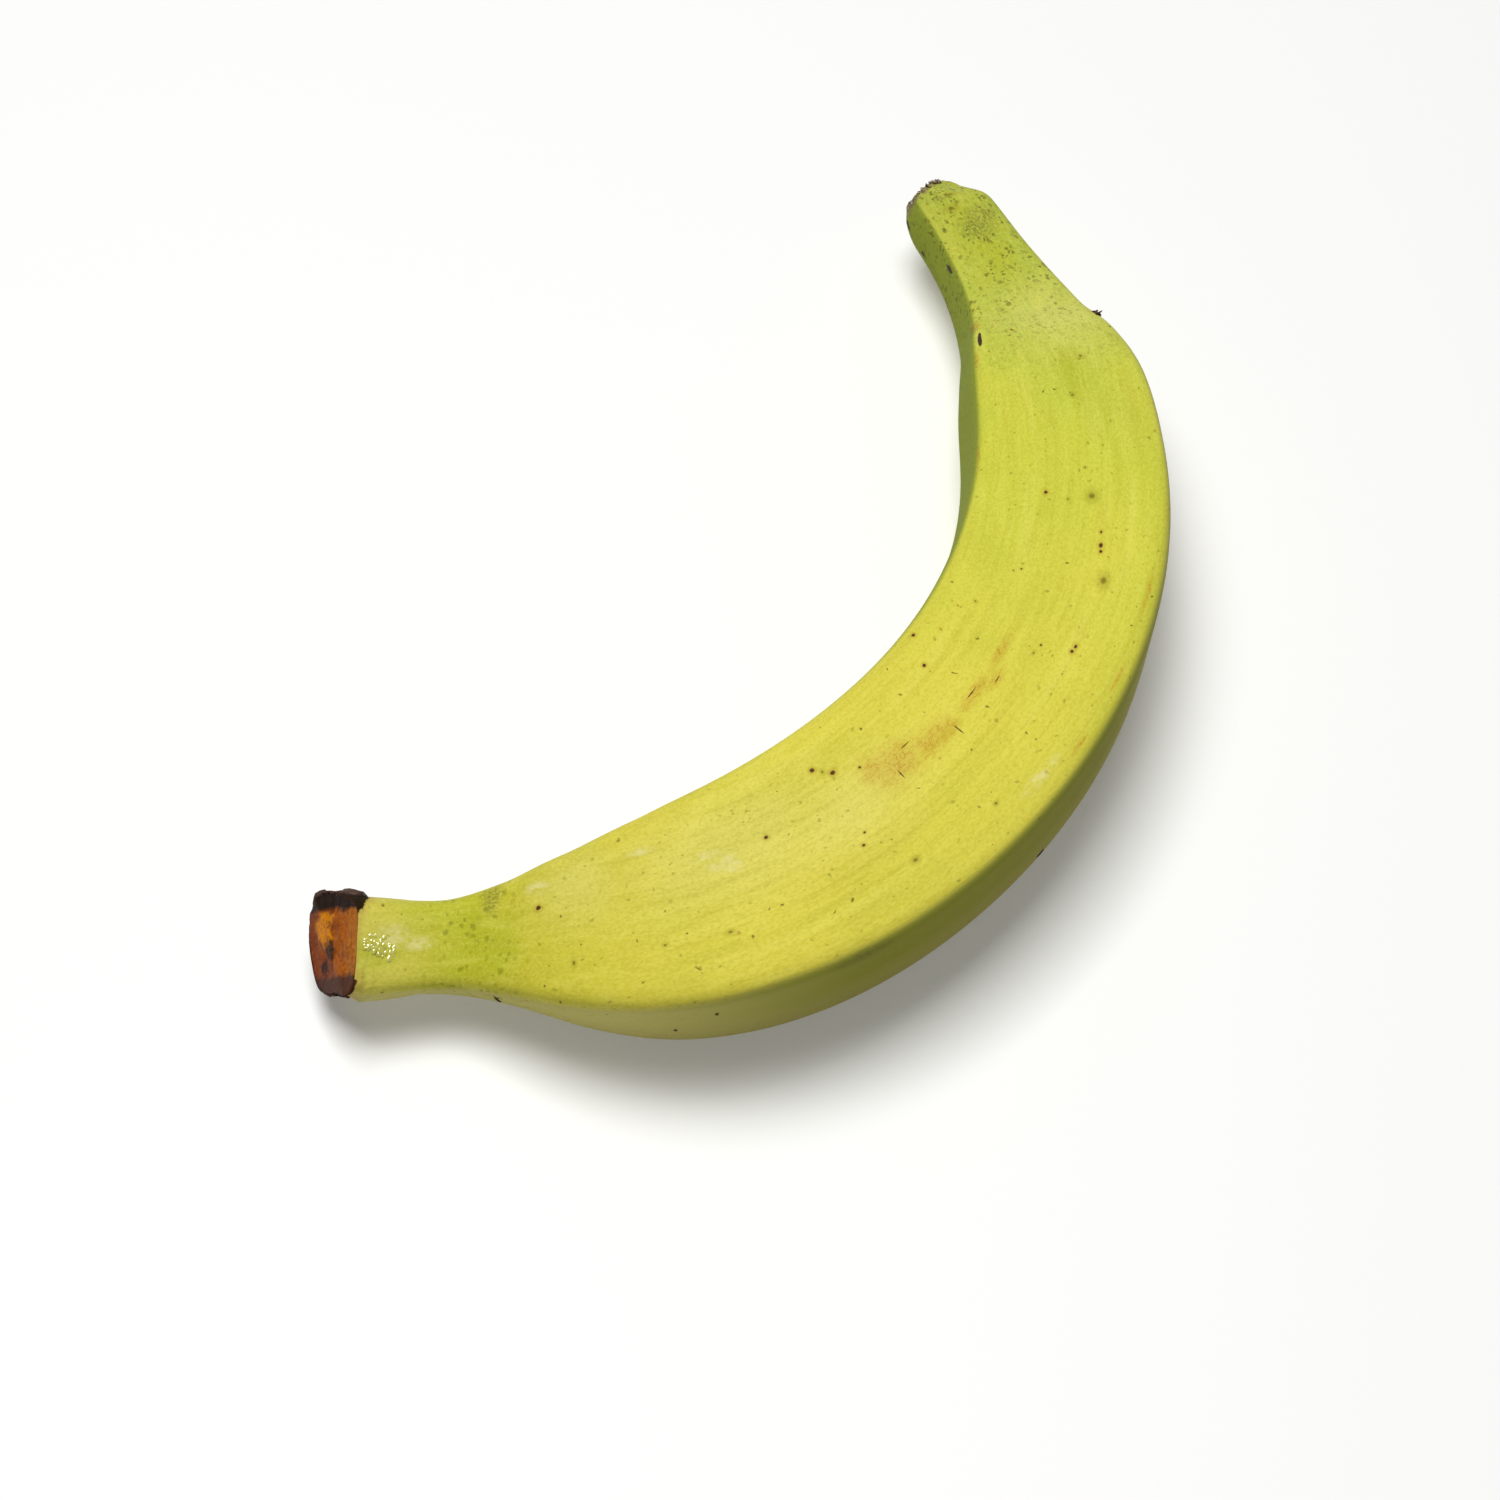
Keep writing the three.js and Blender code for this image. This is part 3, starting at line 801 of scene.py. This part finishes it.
OLIVE_SPOTS = [
    (183, 71.5, 1.6, 1.3), (164.5, 58.5, 1.9, 1.3), (219, 66, 0.8, 0.6), (209, 79, 0.7, 0.6),
    (71, 60, 0.8, 0.6), (100.4, 53.4, 0.9, 0.7), (116.5, 50, 0.6, 0.5), (47, 56, 0.5, 0.9),
    (61, 61, 0.6, 0.5), (97.2, 115.5, 0.5, 0.5), (163, 104, 0.4, 0.4), (181.5, 86, 0.5, 0.4),
    (271, 100, 1.0, 1.6), (274.5, 82, 0.7, 1.6), (149.5, 118, 0.5, 0.5), (190, 76, 0.5, 0.4),
    (144.2, 77.5, 0.7, 0.35),
]
RUSSET = [
    (105.5, 101, 2.6, 2.6), (109.5, 97, 5, 3.2), (117.5, 93, 4.5, 2.2), (121, 91, 2.5, 1.6),
    (130.5, 93, 4, 1.1), (135.5, 87.5, 2.4, 0.9), (141, 94, 4, 0.8), (233, 133, 3, 0.9),
    (221, 134, 7, 0.45), (192, 135, 8, 0.35), (133, 41.5, 2, 0.4), (147, 41.5, 2.5, 0.4),
    (165, 41.5, 4, 0.4), (119, 91.5, 0.6, 0.5),
]
RUBBED = [
    (73.5, 98, 2.4, 1.3), (75, 94, 1.4, 1.2), (71, 105, 2.4, 0.8), (125, 45, 4, 1.1),
    (60, 119, 3, 0.7), (41, 118, 2.6, 1.2), (11, 96, 3, 2.2), (16, 84, 3, 1.2),
]
GREY_SMUDGES = [
    (31.5, 125, 1.8, 2.6), (264.5, 80, 3, 3.2), (267, 62, 2.2, 2.4), (274.5, 105, 0.8, 1.6),
    (31.5, 125, 1.0, 1.6), (87, 33, 4, 1.6), (232, 136, 4, 0.8),
]
NICKS = [
    (31.4, 9, 0.45, 2.4), (66.2, 20, 0.28, 0.9), (60, -2, 0.3, 0.8), (122.5, 86, 0.15, 1.1),
    (130, 94, 1.4, 0.12), (135.5, 87, 0.9, 0.12), (113, 101, 1.2, 0.1), (108.5, 90.5, 0.12, 0.9),
]
SPECKS = {      # mm between specks and across one, share of the cells that have one, seed, stretch
    "neck": (1.5, 0.85, 0.6, 11, 1.0), "fine": (0.85, 0.46, 0.65, 12, 1.4),
    "tip": (1.7, 0.75, 0.65, 13, 1.4), "olive": (1.7, 0.4, 0.5, 14, 1.3),
    "brown": (2.9, 0.42, 0.5, 15, 1.0), "tan": (2.6, 0.42, 0.4, 16, 1.3),
}
ON_NECK, PAST_NECK, TOWARD_TIP = (11, 21), (31, 44), (200, 256)      # mm along the fruit
WARP = 1.6       # mm that the outline of a speck is pushed about


# %% Layers of marks
def speck_layers(add, skin):
    """Pores all over, and thicker specks on the neck and towards the blossom end."""
    named = {"Vector": skin.straight, "Scale": 0.8, "Detail": 2.0}
    warp = add("TexNoise", named=named, out="Color")
    ragged = add("VectorMath.MULTIPLY_ADD", warp, (WARP, WARP, WARP), skin.straight)
    specks = {label: flecks(add, ragged, *sizes) for label, sizes in SPECKS.items()}
    clustered = add("MapRange", skin.clusters, 0.4, 0.58, 0.3, 1.0)
    on_neck = add("MapRange", skin.place, *ON_NECK, **SMOOTH)
    past_neck = add("MapRange", skin.place, *PAST_NECK, 1.0, 0.0, **SMOOTH)
    toward_tip = add("MapRange", skin.place, *TOWARD_TIP, **SMOOTH)
    on_neck = overlap(add, on_neck, past_neck)
    tip = add("Math.MAXIMUM", specks["fine"], specks["tip"])
    return [
        (overlap(add, specks["olive"], clustered), "#86842A", 0.6), (specks["tan"], "#A4802C", 0.6),
        (specks["brown"], "#6E5020", 0.8),
        (overlap(add, specks["neck"], on_neck, clustered), "#80841E", 0.65),
        (overlap(add, tip, toward_tip, clustered), "#5E5822", 0.75),
    ]


def spot_layers(add, skin):
    """Spots, russet, rubbed skin, smudges, dots and nicks, each with its own grain."""
    straight, wobble, tatter = skin.straight, skin.wobble, skin.tatter
    veins = add("Math.ABSOLUTE", add("Math.SUBTRACT", skin.veins, 0.5))
    veins = add("MapRange", veins, 0.01, 0.045, 1.0, 0.0)
    russet_grain = add("Math.MAXIMUM", veins, 0.42)
    rubbed_grain = add("MapRange", tatter, 0.42, 0.58, 0.1, 1.0)
    grey_grain = add("MapRange", skin.grain, 0.42, 0.58, 0.25, 1.0)
    return [
        (spots(add, straight, OLIVE_SPOTS, tatter, 0.8), "#9A9226", 0.5),
        (spots(add, straight, OLIVE_SPOTS, tatter, 0.4, grown=0.4), "#6E5A1C", 0.7),
        (overlap(add, spots(add, straight, RUSSET, tatter, 0.8), russet_grain), "#B4701C", 0.68),
        (overlap(add, spots(add, straight, RUBBED, tatter, 0.6), rubbed_grain), "#EBE2A6", 0.5),
        (overlap(add, spots(add, straight, GREY_SMUDGES, tatter, 0.8), grey_grain), "#6E6838", 0.65),
        (spots(add, straight, DARK_DOTS, wobble, 0.8, grown=1.9), "#B08A2C", 0.55),
        (spots(add, straight, DARK_DOTS, wobble, 0.3), "#4A2418", 0.95),
        (spots(add, straight, NICKS, wobble, 0.35), "#3E2416", 0.92),
    ]


def end_layers(add, skin):
    """Blackened peel beside the cut and dried peel at the stub, with the masks of both."""
    margin = add("Attribute", attribute_name="char_margin", out="Fac")
    margin = add("Math.ADD", margin, add("MapRange", skin.tatter, 0.3, 0.7, -0.9, 0.9))
    charred = add("MapRange", margin, 0.0, 0.5)
    brown_char = overlap(add, charred, add("MapRange", skin.across, 0.0, 5.0))
    dried = add("Attribute", attribute_name="tip_margin", out="Fac")
    dried = add("Math.ADD", dried, add("MapRange", skin.tatter, 0.3, 0.7, -1.6, 1.6))
    dried = add("MapRange", dried, -0.3, 0.6)
    layers = [
        (margin, -2.6, -0.6, "#BC9C4C", 0.5), (margin, -0.5, 0.4, "#8A6A42", 0.5),
        (charred, "#17100D", 0.98), (brown_char, "#482A20", 0.9), (dried, "#86765A", 0.75),
    ]
    return layers, charred, dried


# %% The peel's shader
CHAR_DULL, DRIED_DULL, SIDE_DULL = 0.4, 0.3, 0.3      # what each adds to the roughness


def waxy_peel(add):
    """Wax has an IOR near 1.4. It lies thin and uneven, so its gloss is weak, broad and a little
    yellow from the skin below it."""
    skin = skin_patterns(add)
    ridge = add("Attribute", attribute_name="ridge", out="Fac")
    outer, outer_side = outer_flank_tone_and_shade(add, skin)
    inner, inner_side = inner_flank_tone_and_shade(add, skin)
    ends, charred, dried = end_layers(add, skin)
    fine = [(skin.dark_grain, "#A49E2C", 0.30), (ridge, "#A9A236", 0.12)]
    layers = [*slow_layers(add, skin), *outer, *inner, *fine, *speck_layers(add, skin)]
    colour = coloured(add, ripe_colour(add, skin), [*layers, *spot_layers(add, skin), *ends])
    gloss = add("MapRange", skin.grain, 0.3, 0.7, 0.46, 0.58)
    sides = add("Math.MAXIMUM", inner_side, outer_side)
    for mask, duller in ((charred, CHAR_DULL), (dried, DRIED_DULL), (sides, SIDE_DULL)):
        gloss = add("Math.MULTIPLY_ADD", mask, duller, gloss)
    relief = add("Math.MULTIPLY_ADD", skin.grain, 0.2, skin.fibres)
    relief = add("Math.MULTIPLY_ADD", skin.tatter, charred, relief)
    bump = add("Bump", named={"Strength": 0.12, "Distance": 0.06 * MM, "Height": relief})
    return {
        "Base Color": colour, "Roughness": gloss, "IOR": 1.4, "Specular IOR Level": 0.22,
        "Specular Tint": linear("#DAD07A"), "Normal": bump,
    }


peel_finish = new_material("waxy peel", waxy_peel)

# %% [markdown]
# ## The cut through the stem
# Where the stem was cut, wet starchy tissue dried to a horny orange-brown skin. It is amber where
# it is thin and glassy, nearly black where it bruised, and its fibres stand out as pale specks.
# The knife went through in two strokes, which leaves a faint line across the face.

# %% The cut's finish
# Centre and half sizes in mm: along the fruit, across it and up.
CUT_AMBER = [((0, -3.0, -3.0), (1, 3.4, 2.6)), ((0, -4.6, -2.2), (1, 2.0, 2.4))]
CUT_BRUISE = [((0, 0.7, -1.2), (1, 1.5, 1.9)), ((0, 3.7, -3.2), (1, 1.5, 1.4))]
TOP_STRIP, FAR_RIM, NEAR_RIM = (4.2, 5.2), (-6.4, -7.2), (4.9, 5.7)       # mm from the middle
CUT_EDGE = (0.95, 0.98)       # share of the way out


def dried_cut(add):
    """Dried starch has an IOR near 1.5; its crumbs and grit scatter most of the gloss."""
    across, above = add("SeparateXYZ", add("Attribute", **STRAIGHT)).node.outputs[1:]
    flat = add("CombineXYZ", 0.0, across, above)
    cloud = speckled(add, flat, 2.6, seed=21)
    crumb = speckled(add, flat, 0.7, detail=4, seed=22)
    grit = speckled(add, flat, 0.35, detail=2, seed=23)
    strands = add("VectorMath.MULTIPLY", flat, (1.0, 0.35, 2.6))
    strands = add("TexNoise", named={"Vector": strands, "Scale": 1.0, "Detail": 3.0})
    wobble = add("MapRange", cloud, 0.3, 0.7, -0.7, 0.7)
    amber = near_any(add, flat, CUT_AMBER, wobble, 1.0, 0.45)
    bruise = near_any(add, flat, CUT_BRUISE, wobble, 1.0, 0.5)
    uneven_above = add("Math.ADD", above, add("MapRange", crumb, 0.3, 0.7, -0.35, 0.35))
    uneven_across = add("Math.ADD", across, wobble)
    upper = add("MapRange", uneven_above, 0.1, 0.5)
    line = overlap(add, add("MapRange", uneven_above, 0.0, 0.35, 1.0, 0.0), upper)
    reach = add("Attribute", attribute_name="reach", out="Fac")
    colour = coloured(add, linear("#883A04"), [
        (upper, "#AE5C06", 0.9), (uneven_above, *TOP_STRIP, "#B86C08", 0.8),
        (amber, "#E08A00", 0.95), (strands, 0.52, 0.7, "#742E04", 0.2),
        (cloud, 0.5, 0.72, "#5E2406", 0.55), (crumb, 0.5, 0.66, "#4C1C06", 0.55),
        (crumb, 0.42, 0.28, "#DCA05A", 0.5), (line, "#4A2412", 0.3), (bruise, "#2C1208", 0.95),
        (uneven_across, *FAR_RIM, "#0E0907", 0.98), (uneven_across, *NEAR_RIM, "#44251A", 0.95),
        (reach, *CUT_EDGE, "#3A1E12", 0.8),
    ])
    relief = add("Math.MULTIPLY_ADD", crumb, 1.0, grit)
    bump = add("Bump", named={"Strength": 0.35, "Distance": 0.25 * MM, "Height": relief})
    gloss = add("MapRange", grit, 0.3, 0.7, 0.38, 0.62)
    return {
        "Base Color": colour, "Roughness": gloss, "IOR": 1.5, "Specular IOR Level": 0.12,
        "Specular Tint": linear("#F0A040"), "Normal": bump,
    }


cut_finish = new_material("dried cut tissue", dried_cut)

# %% [markdown]
# ## The scar where the blossom fell off
# The scar is a dry, corky scab: grey where it weathered, dark brown where old flower parts still
# cling to it. It scatters light without any gloss, and crumbs of it stand up on their own.

# %% The scar's finish
def corky_scar(add):
    """Cork is rough at every scale, so it is matt and its crumbs shade one another."""
    in_mm = add("VectorMath.SCALE", add("TexCoord", out="Object"), named={"Scale": 1 / MM})
    cloud = speckled(add, in_mm, 1.6, seed=31)
    crumb = speckled(add, in_mm, 0.45, detail=4, seed=32)
    colour = coloured(add, linear("#A08A70"), [
        (cloud, 0.52, 0.62, "#DAD2CA", 0.9), (cloud, 0.47, 0.38, "#6E5240", 0.7),
        (crumb, 0.45, 0.65, "#7A5C4A", 0.35),
    ])
    bump = add("Bump", named={"Strength": 0.7, "Distance": 0.3 * MM, "Height": crumb})
    return {"Base Color": colour, "Roughness": 0.8, "Normal": bump}


scar_finish = new_material("dried blossom scab", corky_scar)

# %% Roll the peel
unmoved = roll(peel_pattern, Middle_line=middle_line)
points = np.empty(3 * len(unmoved.vertices), np.float32)
unmoved.vertices.foreach_get("co", points)
points = points.reshape(-1, 3)
middle = (points.min(axis=0) + points.max(axis=0)) / 2
bpy.data.meshes.remove(unmoved)

low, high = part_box("plantain")
ROLL.interface.items_tree["Move"].default_value = (-middle[0], -middle[1], 0)
ROLL.interface.items_tree["Lowest corner"].default_value = low
ROLL.interface.items_tree["Highest corner"].default_value = high
finishes = {"Finish": peel_finish, "Cut_finish": cut_finish, "Scar_finish": scar_finish}
peel = piece(peel_pattern, roll(peel_pattern, Middle_line=middle_line, **finishes))
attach(peel, "root")
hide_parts("plantain")
print("peel:", len(peel.data.vertices), "points,", len(peel.data.polygons), "faces")

# %% [markdown]
# ## Small things that stand on the skin
# Bruises dry into hard dark scabs, fresh sap stands in wet drops beside the cut, torn fibres hang
# on at the crown, and crumbs of the old flower stay on the stub. Each is a low dome that is laid
# out flat like the peel. Its ragged foot dips just under the skin, so that no gap shows, and
# the same tree rolls it into its place.

# %% Helpers that lay out domes
DOME_RINGS, DOME_SIDES = 3, 10
DOME_FOOT = 0.2       # mm that its foot reaches under the skin
DOME_REACH = np.repeat(1 - np.arange(DOME_RINGS) / DOME_RINGS, DOME_SIDES)
DOME_TURN = np.tile(2 * math.pi * np.arange(DOME_SIDES) / DOME_SIDES, DOME_RINGS)
# read the other way round, because a dome is laid out from its foot up
DOME_FACES = [face[:1] + face[:0:-1] for face in closed_net(DOME_RINGS, DOME_SIDES)]


def domes(name, places, seed, ragged=0.25, rough=0.0):
    """A pattern of domes, each (place, around, half length, half width, height, lean)."""
    draw = np.random.default_rng(seed)
    from_cut, around, raised, faces = [], [], [], []
    for place, direction, half_length, half_width, height, lean in places:
        faces += [tuple(len(from_cut) + corner for corner in face) for face in DOME_FACES]
        edge = np.tile(1 + ragged * draw.uniform(-1, 1, DOME_SIDES), DOME_RINGS)
        ahead = np.pad(half_length * DOME_REACH * edge * np.cos(DOME_TURN), 1)
        across = np.pad(half_width * DOME_REACH * edge * np.sin(DOME_TURN), 1)
        stands = height * np.sqrt(1 - DOME_REACH**2)
        stands[:DOME_SIDES] = -DOME_FOOT
        radius = float(skin_radius(np.array(place / LENGTH), math.radians(direction)))
        lean = math.radians(lean)
        turned = (ahead * math.sin(lean) + across * math.cos(lean)) / radius
        from_cut.extend(place + ahead * math.cos(lean) - across * math.sin(lean))
        around.extend(math.radians(direction) + turned)
        raised.extend([-DOME_FOOT, *stands, height])
    from_cut = np.array(from_cut)
    return lay_out(name, from_cut, np.array(around), np.ones(len(from_cut)), faces, raised, rough)


def stand_on_skin(name, places, finish, seed, **settings):
    """Rolls a pattern of domes on, and makes it a piece that rides on the fruit."""
    pattern = domes(name + "_pattern", places, seed, **settings)
    made = piece(pattern, roll(pattern, Middle_line=middle_line, Finish=finish))
    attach(made, "root")
    print(name + ":", len(places), "domes,", len(made.data.polygons), "faces")


# %% [markdown]
# ## Scabs and flakes
# A scab is dead skin that dried hard: nearly black where it is thick, red-brown at its thin
# edges. It is rough and has lost the wax, so it stays dull beside the glossy peel. Two big ones
# are lumps of the dried flesh on the far rim of the cut, and three small ones make a thin flake
# that stands off a ridge.

# %% The scabs
SCABS = [      # place, degrees round, half length, half width and height in mm, lean in degrees
    (3.2, 168, 3.0, 2.4, 0.9, 0), (1.0, 206, 1.2, 2.4, 0.9, 0), (227.2, 131, 2.4, 0.46, 0.45, 0),
    (257.2, 143, 1.9, 0.5, 0.4, 9), (267.4, 178, 0.8, 0.4, 0.3, 0), (31.4, 6, 0.35, 1.5, 0.3, 12),
    (31.8, 16, 0.25, 0.6, 0.25, -20), (126, -17, 1.3, 0.3, 0.3, 8), (232, 39, 1.2, 0.4, 0.6, 20),
    (231.4, 40, 0.3, 0.25, 1.5, 40), (232.7, 38.5, 0.35, 0.3, 0.9, 0),
]


def hard_scab(add):
    """A crust without wax is almost matt, and its crumbs show as black pits and red edges."""
    crumb = speckled(add, add("Attribute", **STRAIGHT), 0.5, 1.5, detail=3, seed=41)
    layers = [(crumb, 0.5, 0.68, "#6B4028", 0.8), (crumb, 0.48, 0.36, "#1E1512", 0.8)]
    colour = coloured(add, linear("#3C2418"), layers)
    bump = add("Bump", named={"Strength": 0.6, "Distance": 0.15 * MM, "Height": crumb})
    return {"Base Color": colour, "Roughness": 0.65, "Normal": bump}


scab_finish = new_material("hard brown scab", hard_scab)
stand_on_skin("scabs", SCABS, scab_finish, seed=1, rough=0.06)

# %% [markdown]
# ## Wet sap beside the cut
# A plantain bleeds sap where it is cut. The drops have just about the colour of the skin
# under them, but they are smooth as glass, so each one catches the light in one bright point.

# %% The sap drops
SAP_DROPS = 75
SAP_PLACE, SAP_SPREAD = 5.5, 2.0          # mm from the cut
SAP_NEAREST, SAP_SLANT = 2.2, 1.3         # mm, and mm nearer the cut for each step round
SAP_AROUND, SAP_TURN = 85.0, 7.0          # degrees
SAP_STEEPNESS = 0.12                      # a drop's height for each mm of its half width

draw = np.random.default_rng(7)
sap_drops = []
for _ in range(SAP_DROPS):
    ahead, turned = draw.normal(0, 1, 2)
    size = draw.uniform(0.2, 0.85)
    place = max(SAP_PLACE + SAP_SPREAD * ahead - SAP_SLANT * turned, SAP_NEAREST)
    long = size * draw.uniform(0.6, 1.5)
    around = SAP_AROUND + SAP_TURN * turned
    sap_drops.append((place, around, long, size, SAP_STEEPNESS * size, draw.uniform(-40, 40)))


def wet_sap(add):
    """Sap's own IOR is near 1.4, and it is higher here, because the lamp is softer than the
    flash that makes such drops sparkle."""
    cloud = speckled(add, add("Attribute", **STRAIGHT), 0.6, detail=2, seed=61)
    colour = coloured(add, linear("#CECA3E"), [(cloud, 0.5, 0.65, "#EAE796", 0.6)])
    gloss = add("MapRange", cloud, 0.3, 0.7, 0.06, 0.16)
    return {"Base Color": colour, "Roughness": gloss, "IOR": 3.0}


sap_finish = new_material("clear wet sap", wet_sap)
stand_on_skin("sap_drops", sap_drops, sap_finish, seed=2, ragged=0.15)

# %% [markdown]
# ## Torn fibres at the crown
# When the fruit was broken and cut from its bunch, the stringy bundles in the stem tore instead of
# parting cleanly. They dried as short brown shreds along both dark rims of the cut.

# %% The fibres
FIBRE_RIMS = [      # degrees round the section between which shreds stand, how many, longest in mm
    (-62, -12, 60, 2.2), (168, 215, 36, 2.0),
]
FIBRE_ZONE = 3.2       # mm from the cut within which their near ends lie

fibres = []
for start, end, number, longest in FIBRE_RIMS:
    for _ in range(number):
        half = longest * draw.uniform(0.25, 0.5)
        fibres.append((
            half + draw.uniform(0.0, FIBRE_ZONE), draw.uniform(start, end), half,
            draw.uniform(0.12, 0.3), draw.uniform(0.2, 0.6), draw.uniform(-25, 25),
        ))


def torn_fibre(add):
    """Dry fibre is pale where a strand frayed and nearly black between the strands."""
    strand = speckled(add, add("Attribute", **STRAIGHT), 0.5, 4, detail=2, seed=51)
    layers = [(strand, 0.5, 0.7, "#9A5C3A", 0.8), (strand, 0.5, 0.35, "#1E1412", 0.85)]
    return {"Base Color": coloured(add, linear("#4C2A20"), layers), "Roughness": 0.7}


fibre_finish = new_material("torn stem fibre", torn_fibre)
stand_on_skin("torn_fibres", fibres, fibre_finish, seed=3, ragged=0.3, rough=0.05)

# %% [markdown]
# ## Crumbs of the old flower
# The dried flower broke away and left a crust in the hollow between the lobes. A black lump of it
# still stands up, with weathered grey crumbs beside it and brown ones down the torn inner edge.

# %% The crumbs
CRUST = [      # degrees round between which crumbs lie, mm from the stub's end, how many, height
    (66, 98, 1.0, 16, 0.6), (98, 128, 1.4, 14, 0.3), (128, 165, 3.0, 18, 0.3),
]
LUMPS = [(279.4, 104, 0.4, 0.4, 1.1, 20), (279.2, 76, 0.5, 0.5, 0.5, 0), (275.6, 178, 1.6, 0.7, 0.35, 10)]

crumbs = []
for start, end, reach_back, number, tallest in CRUST:
    for _ in range(number):
        size = draw.uniform(0.2, 0.55)
        crumbs.append((
            LENGTH - draw.uniform(0.1, reach_back), draw.uniform(start, end), size,
            size * draw.uniform(0.6, 1.2), tallest * draw.uniform(0.4, 1.0), draw.uniform(0, 90),
        ))
stand_on_skin("flower_crumbs", crumbs, scar_finish, seed=4, ragged=0.35, rough=0.1)
stand_on_skin("flower_lumps", LUMPS, scab_finish, seed=5, ragged=0.35, rough=0.15)

# %% [markdown]
# ## Floor, light and camera
# A pale paper floor and one large soft lamp nearly overhead keep the shadow faint and the gloss
# broad. The floor also glows a little, as a table lit from below would, so that it stays near white
# and sends soft light up onto the fruit's lower side.

# %% Floor
FLOOR_HALF = 3.0      # m
floor_mesh = bpy.data.meshes.new("floor")
corners = [(x * FLOOR_HALF, y * FLOOR_HALF, 0) for x, y in ((-1, -1), (1, -1), (1, 1), (-1, 1))]
floor_mesh.from_pydata(corners, [], [(0, 1, 2, 3)])
floor = bpy.data.objects.new("floor", floor_mesh)
bpy.context.collection.objects.link(floor)
floor_finish = bpy.data.materials.new("white paper")
floor_finish.use_nodes = True
floor_shader = floor_finish.node_tree.nodes["Principled BSDF"].inputs
floor_shader["Base Color"].default_value = linear("#E2E2E0")
# the glow is a soft light from below: it fills the fruit's shadow and lights its underside
floor_shader["Emission Color"].default_value = linear("#FFFFFF")
floor_shader["Emission Strength"].default_value = 0.18
floor_mesh.materials.append(floor_finish)

# %% Light and camera
LAMP = {"side": 0.85, "watts": 24, "place": (0.05, 0.25, 1.5)}      # m
CAMERA = {"lens": 100, "eye": (-399.50, -227.27, 664.29), "target": (-19.52, 10.18, 0)}      # mm

world = bpy.data.worlds.new("studio")
world.use_nodes = True
world.node_tree.nodes["Background"].inputs["Color"].default_value = linear("#FFFFFF")
world.node_tree.nodes["Background"].inputs["Strength"].default_value = 0.1
bpy.context.scene.world = world


def aimed(thing, place, target):
    """Puts an object at a place and turns it to a target: cameras and lamps look along their -Z."""
    thing.location = place
    thing.rotation_euler = (Vector(target) - Vector(place)).to_track_quat("-Z", "Y").to_euler()
    bpy.context.collection.objects.link(thing)


soft_box = bpy.data.lights.new("soft_box", "AREA")
soft_box.shape = "RECTANGLE"
soft_box.size = soft_box.size_y = LAMP["side"]
soft_box.energy = LAMP["watts"]
aimed(bpy.data.objects.new("soft_box", soft_box), LAMP["place"], (0, 0, 0))

camera_data = bpy.data.cameras.new("camera")
camera_data.lens = CAMERA["lens"]
camera = bpy.data.objects.new("camera", camera_data)
aimed(camera, Vector(CAMERA["eye"]) * MM, Vector(CAMERA["target"]) * MM)
bpy.context.scene.camera = camera
bpy.context.scene.view_settings.view_transform = "Standard"
print("camera:", round(camera.location.length, 2), "m from the fruit")

# %% The end: the middle line has done its work
bpy.data.objects.remove(middle_line)
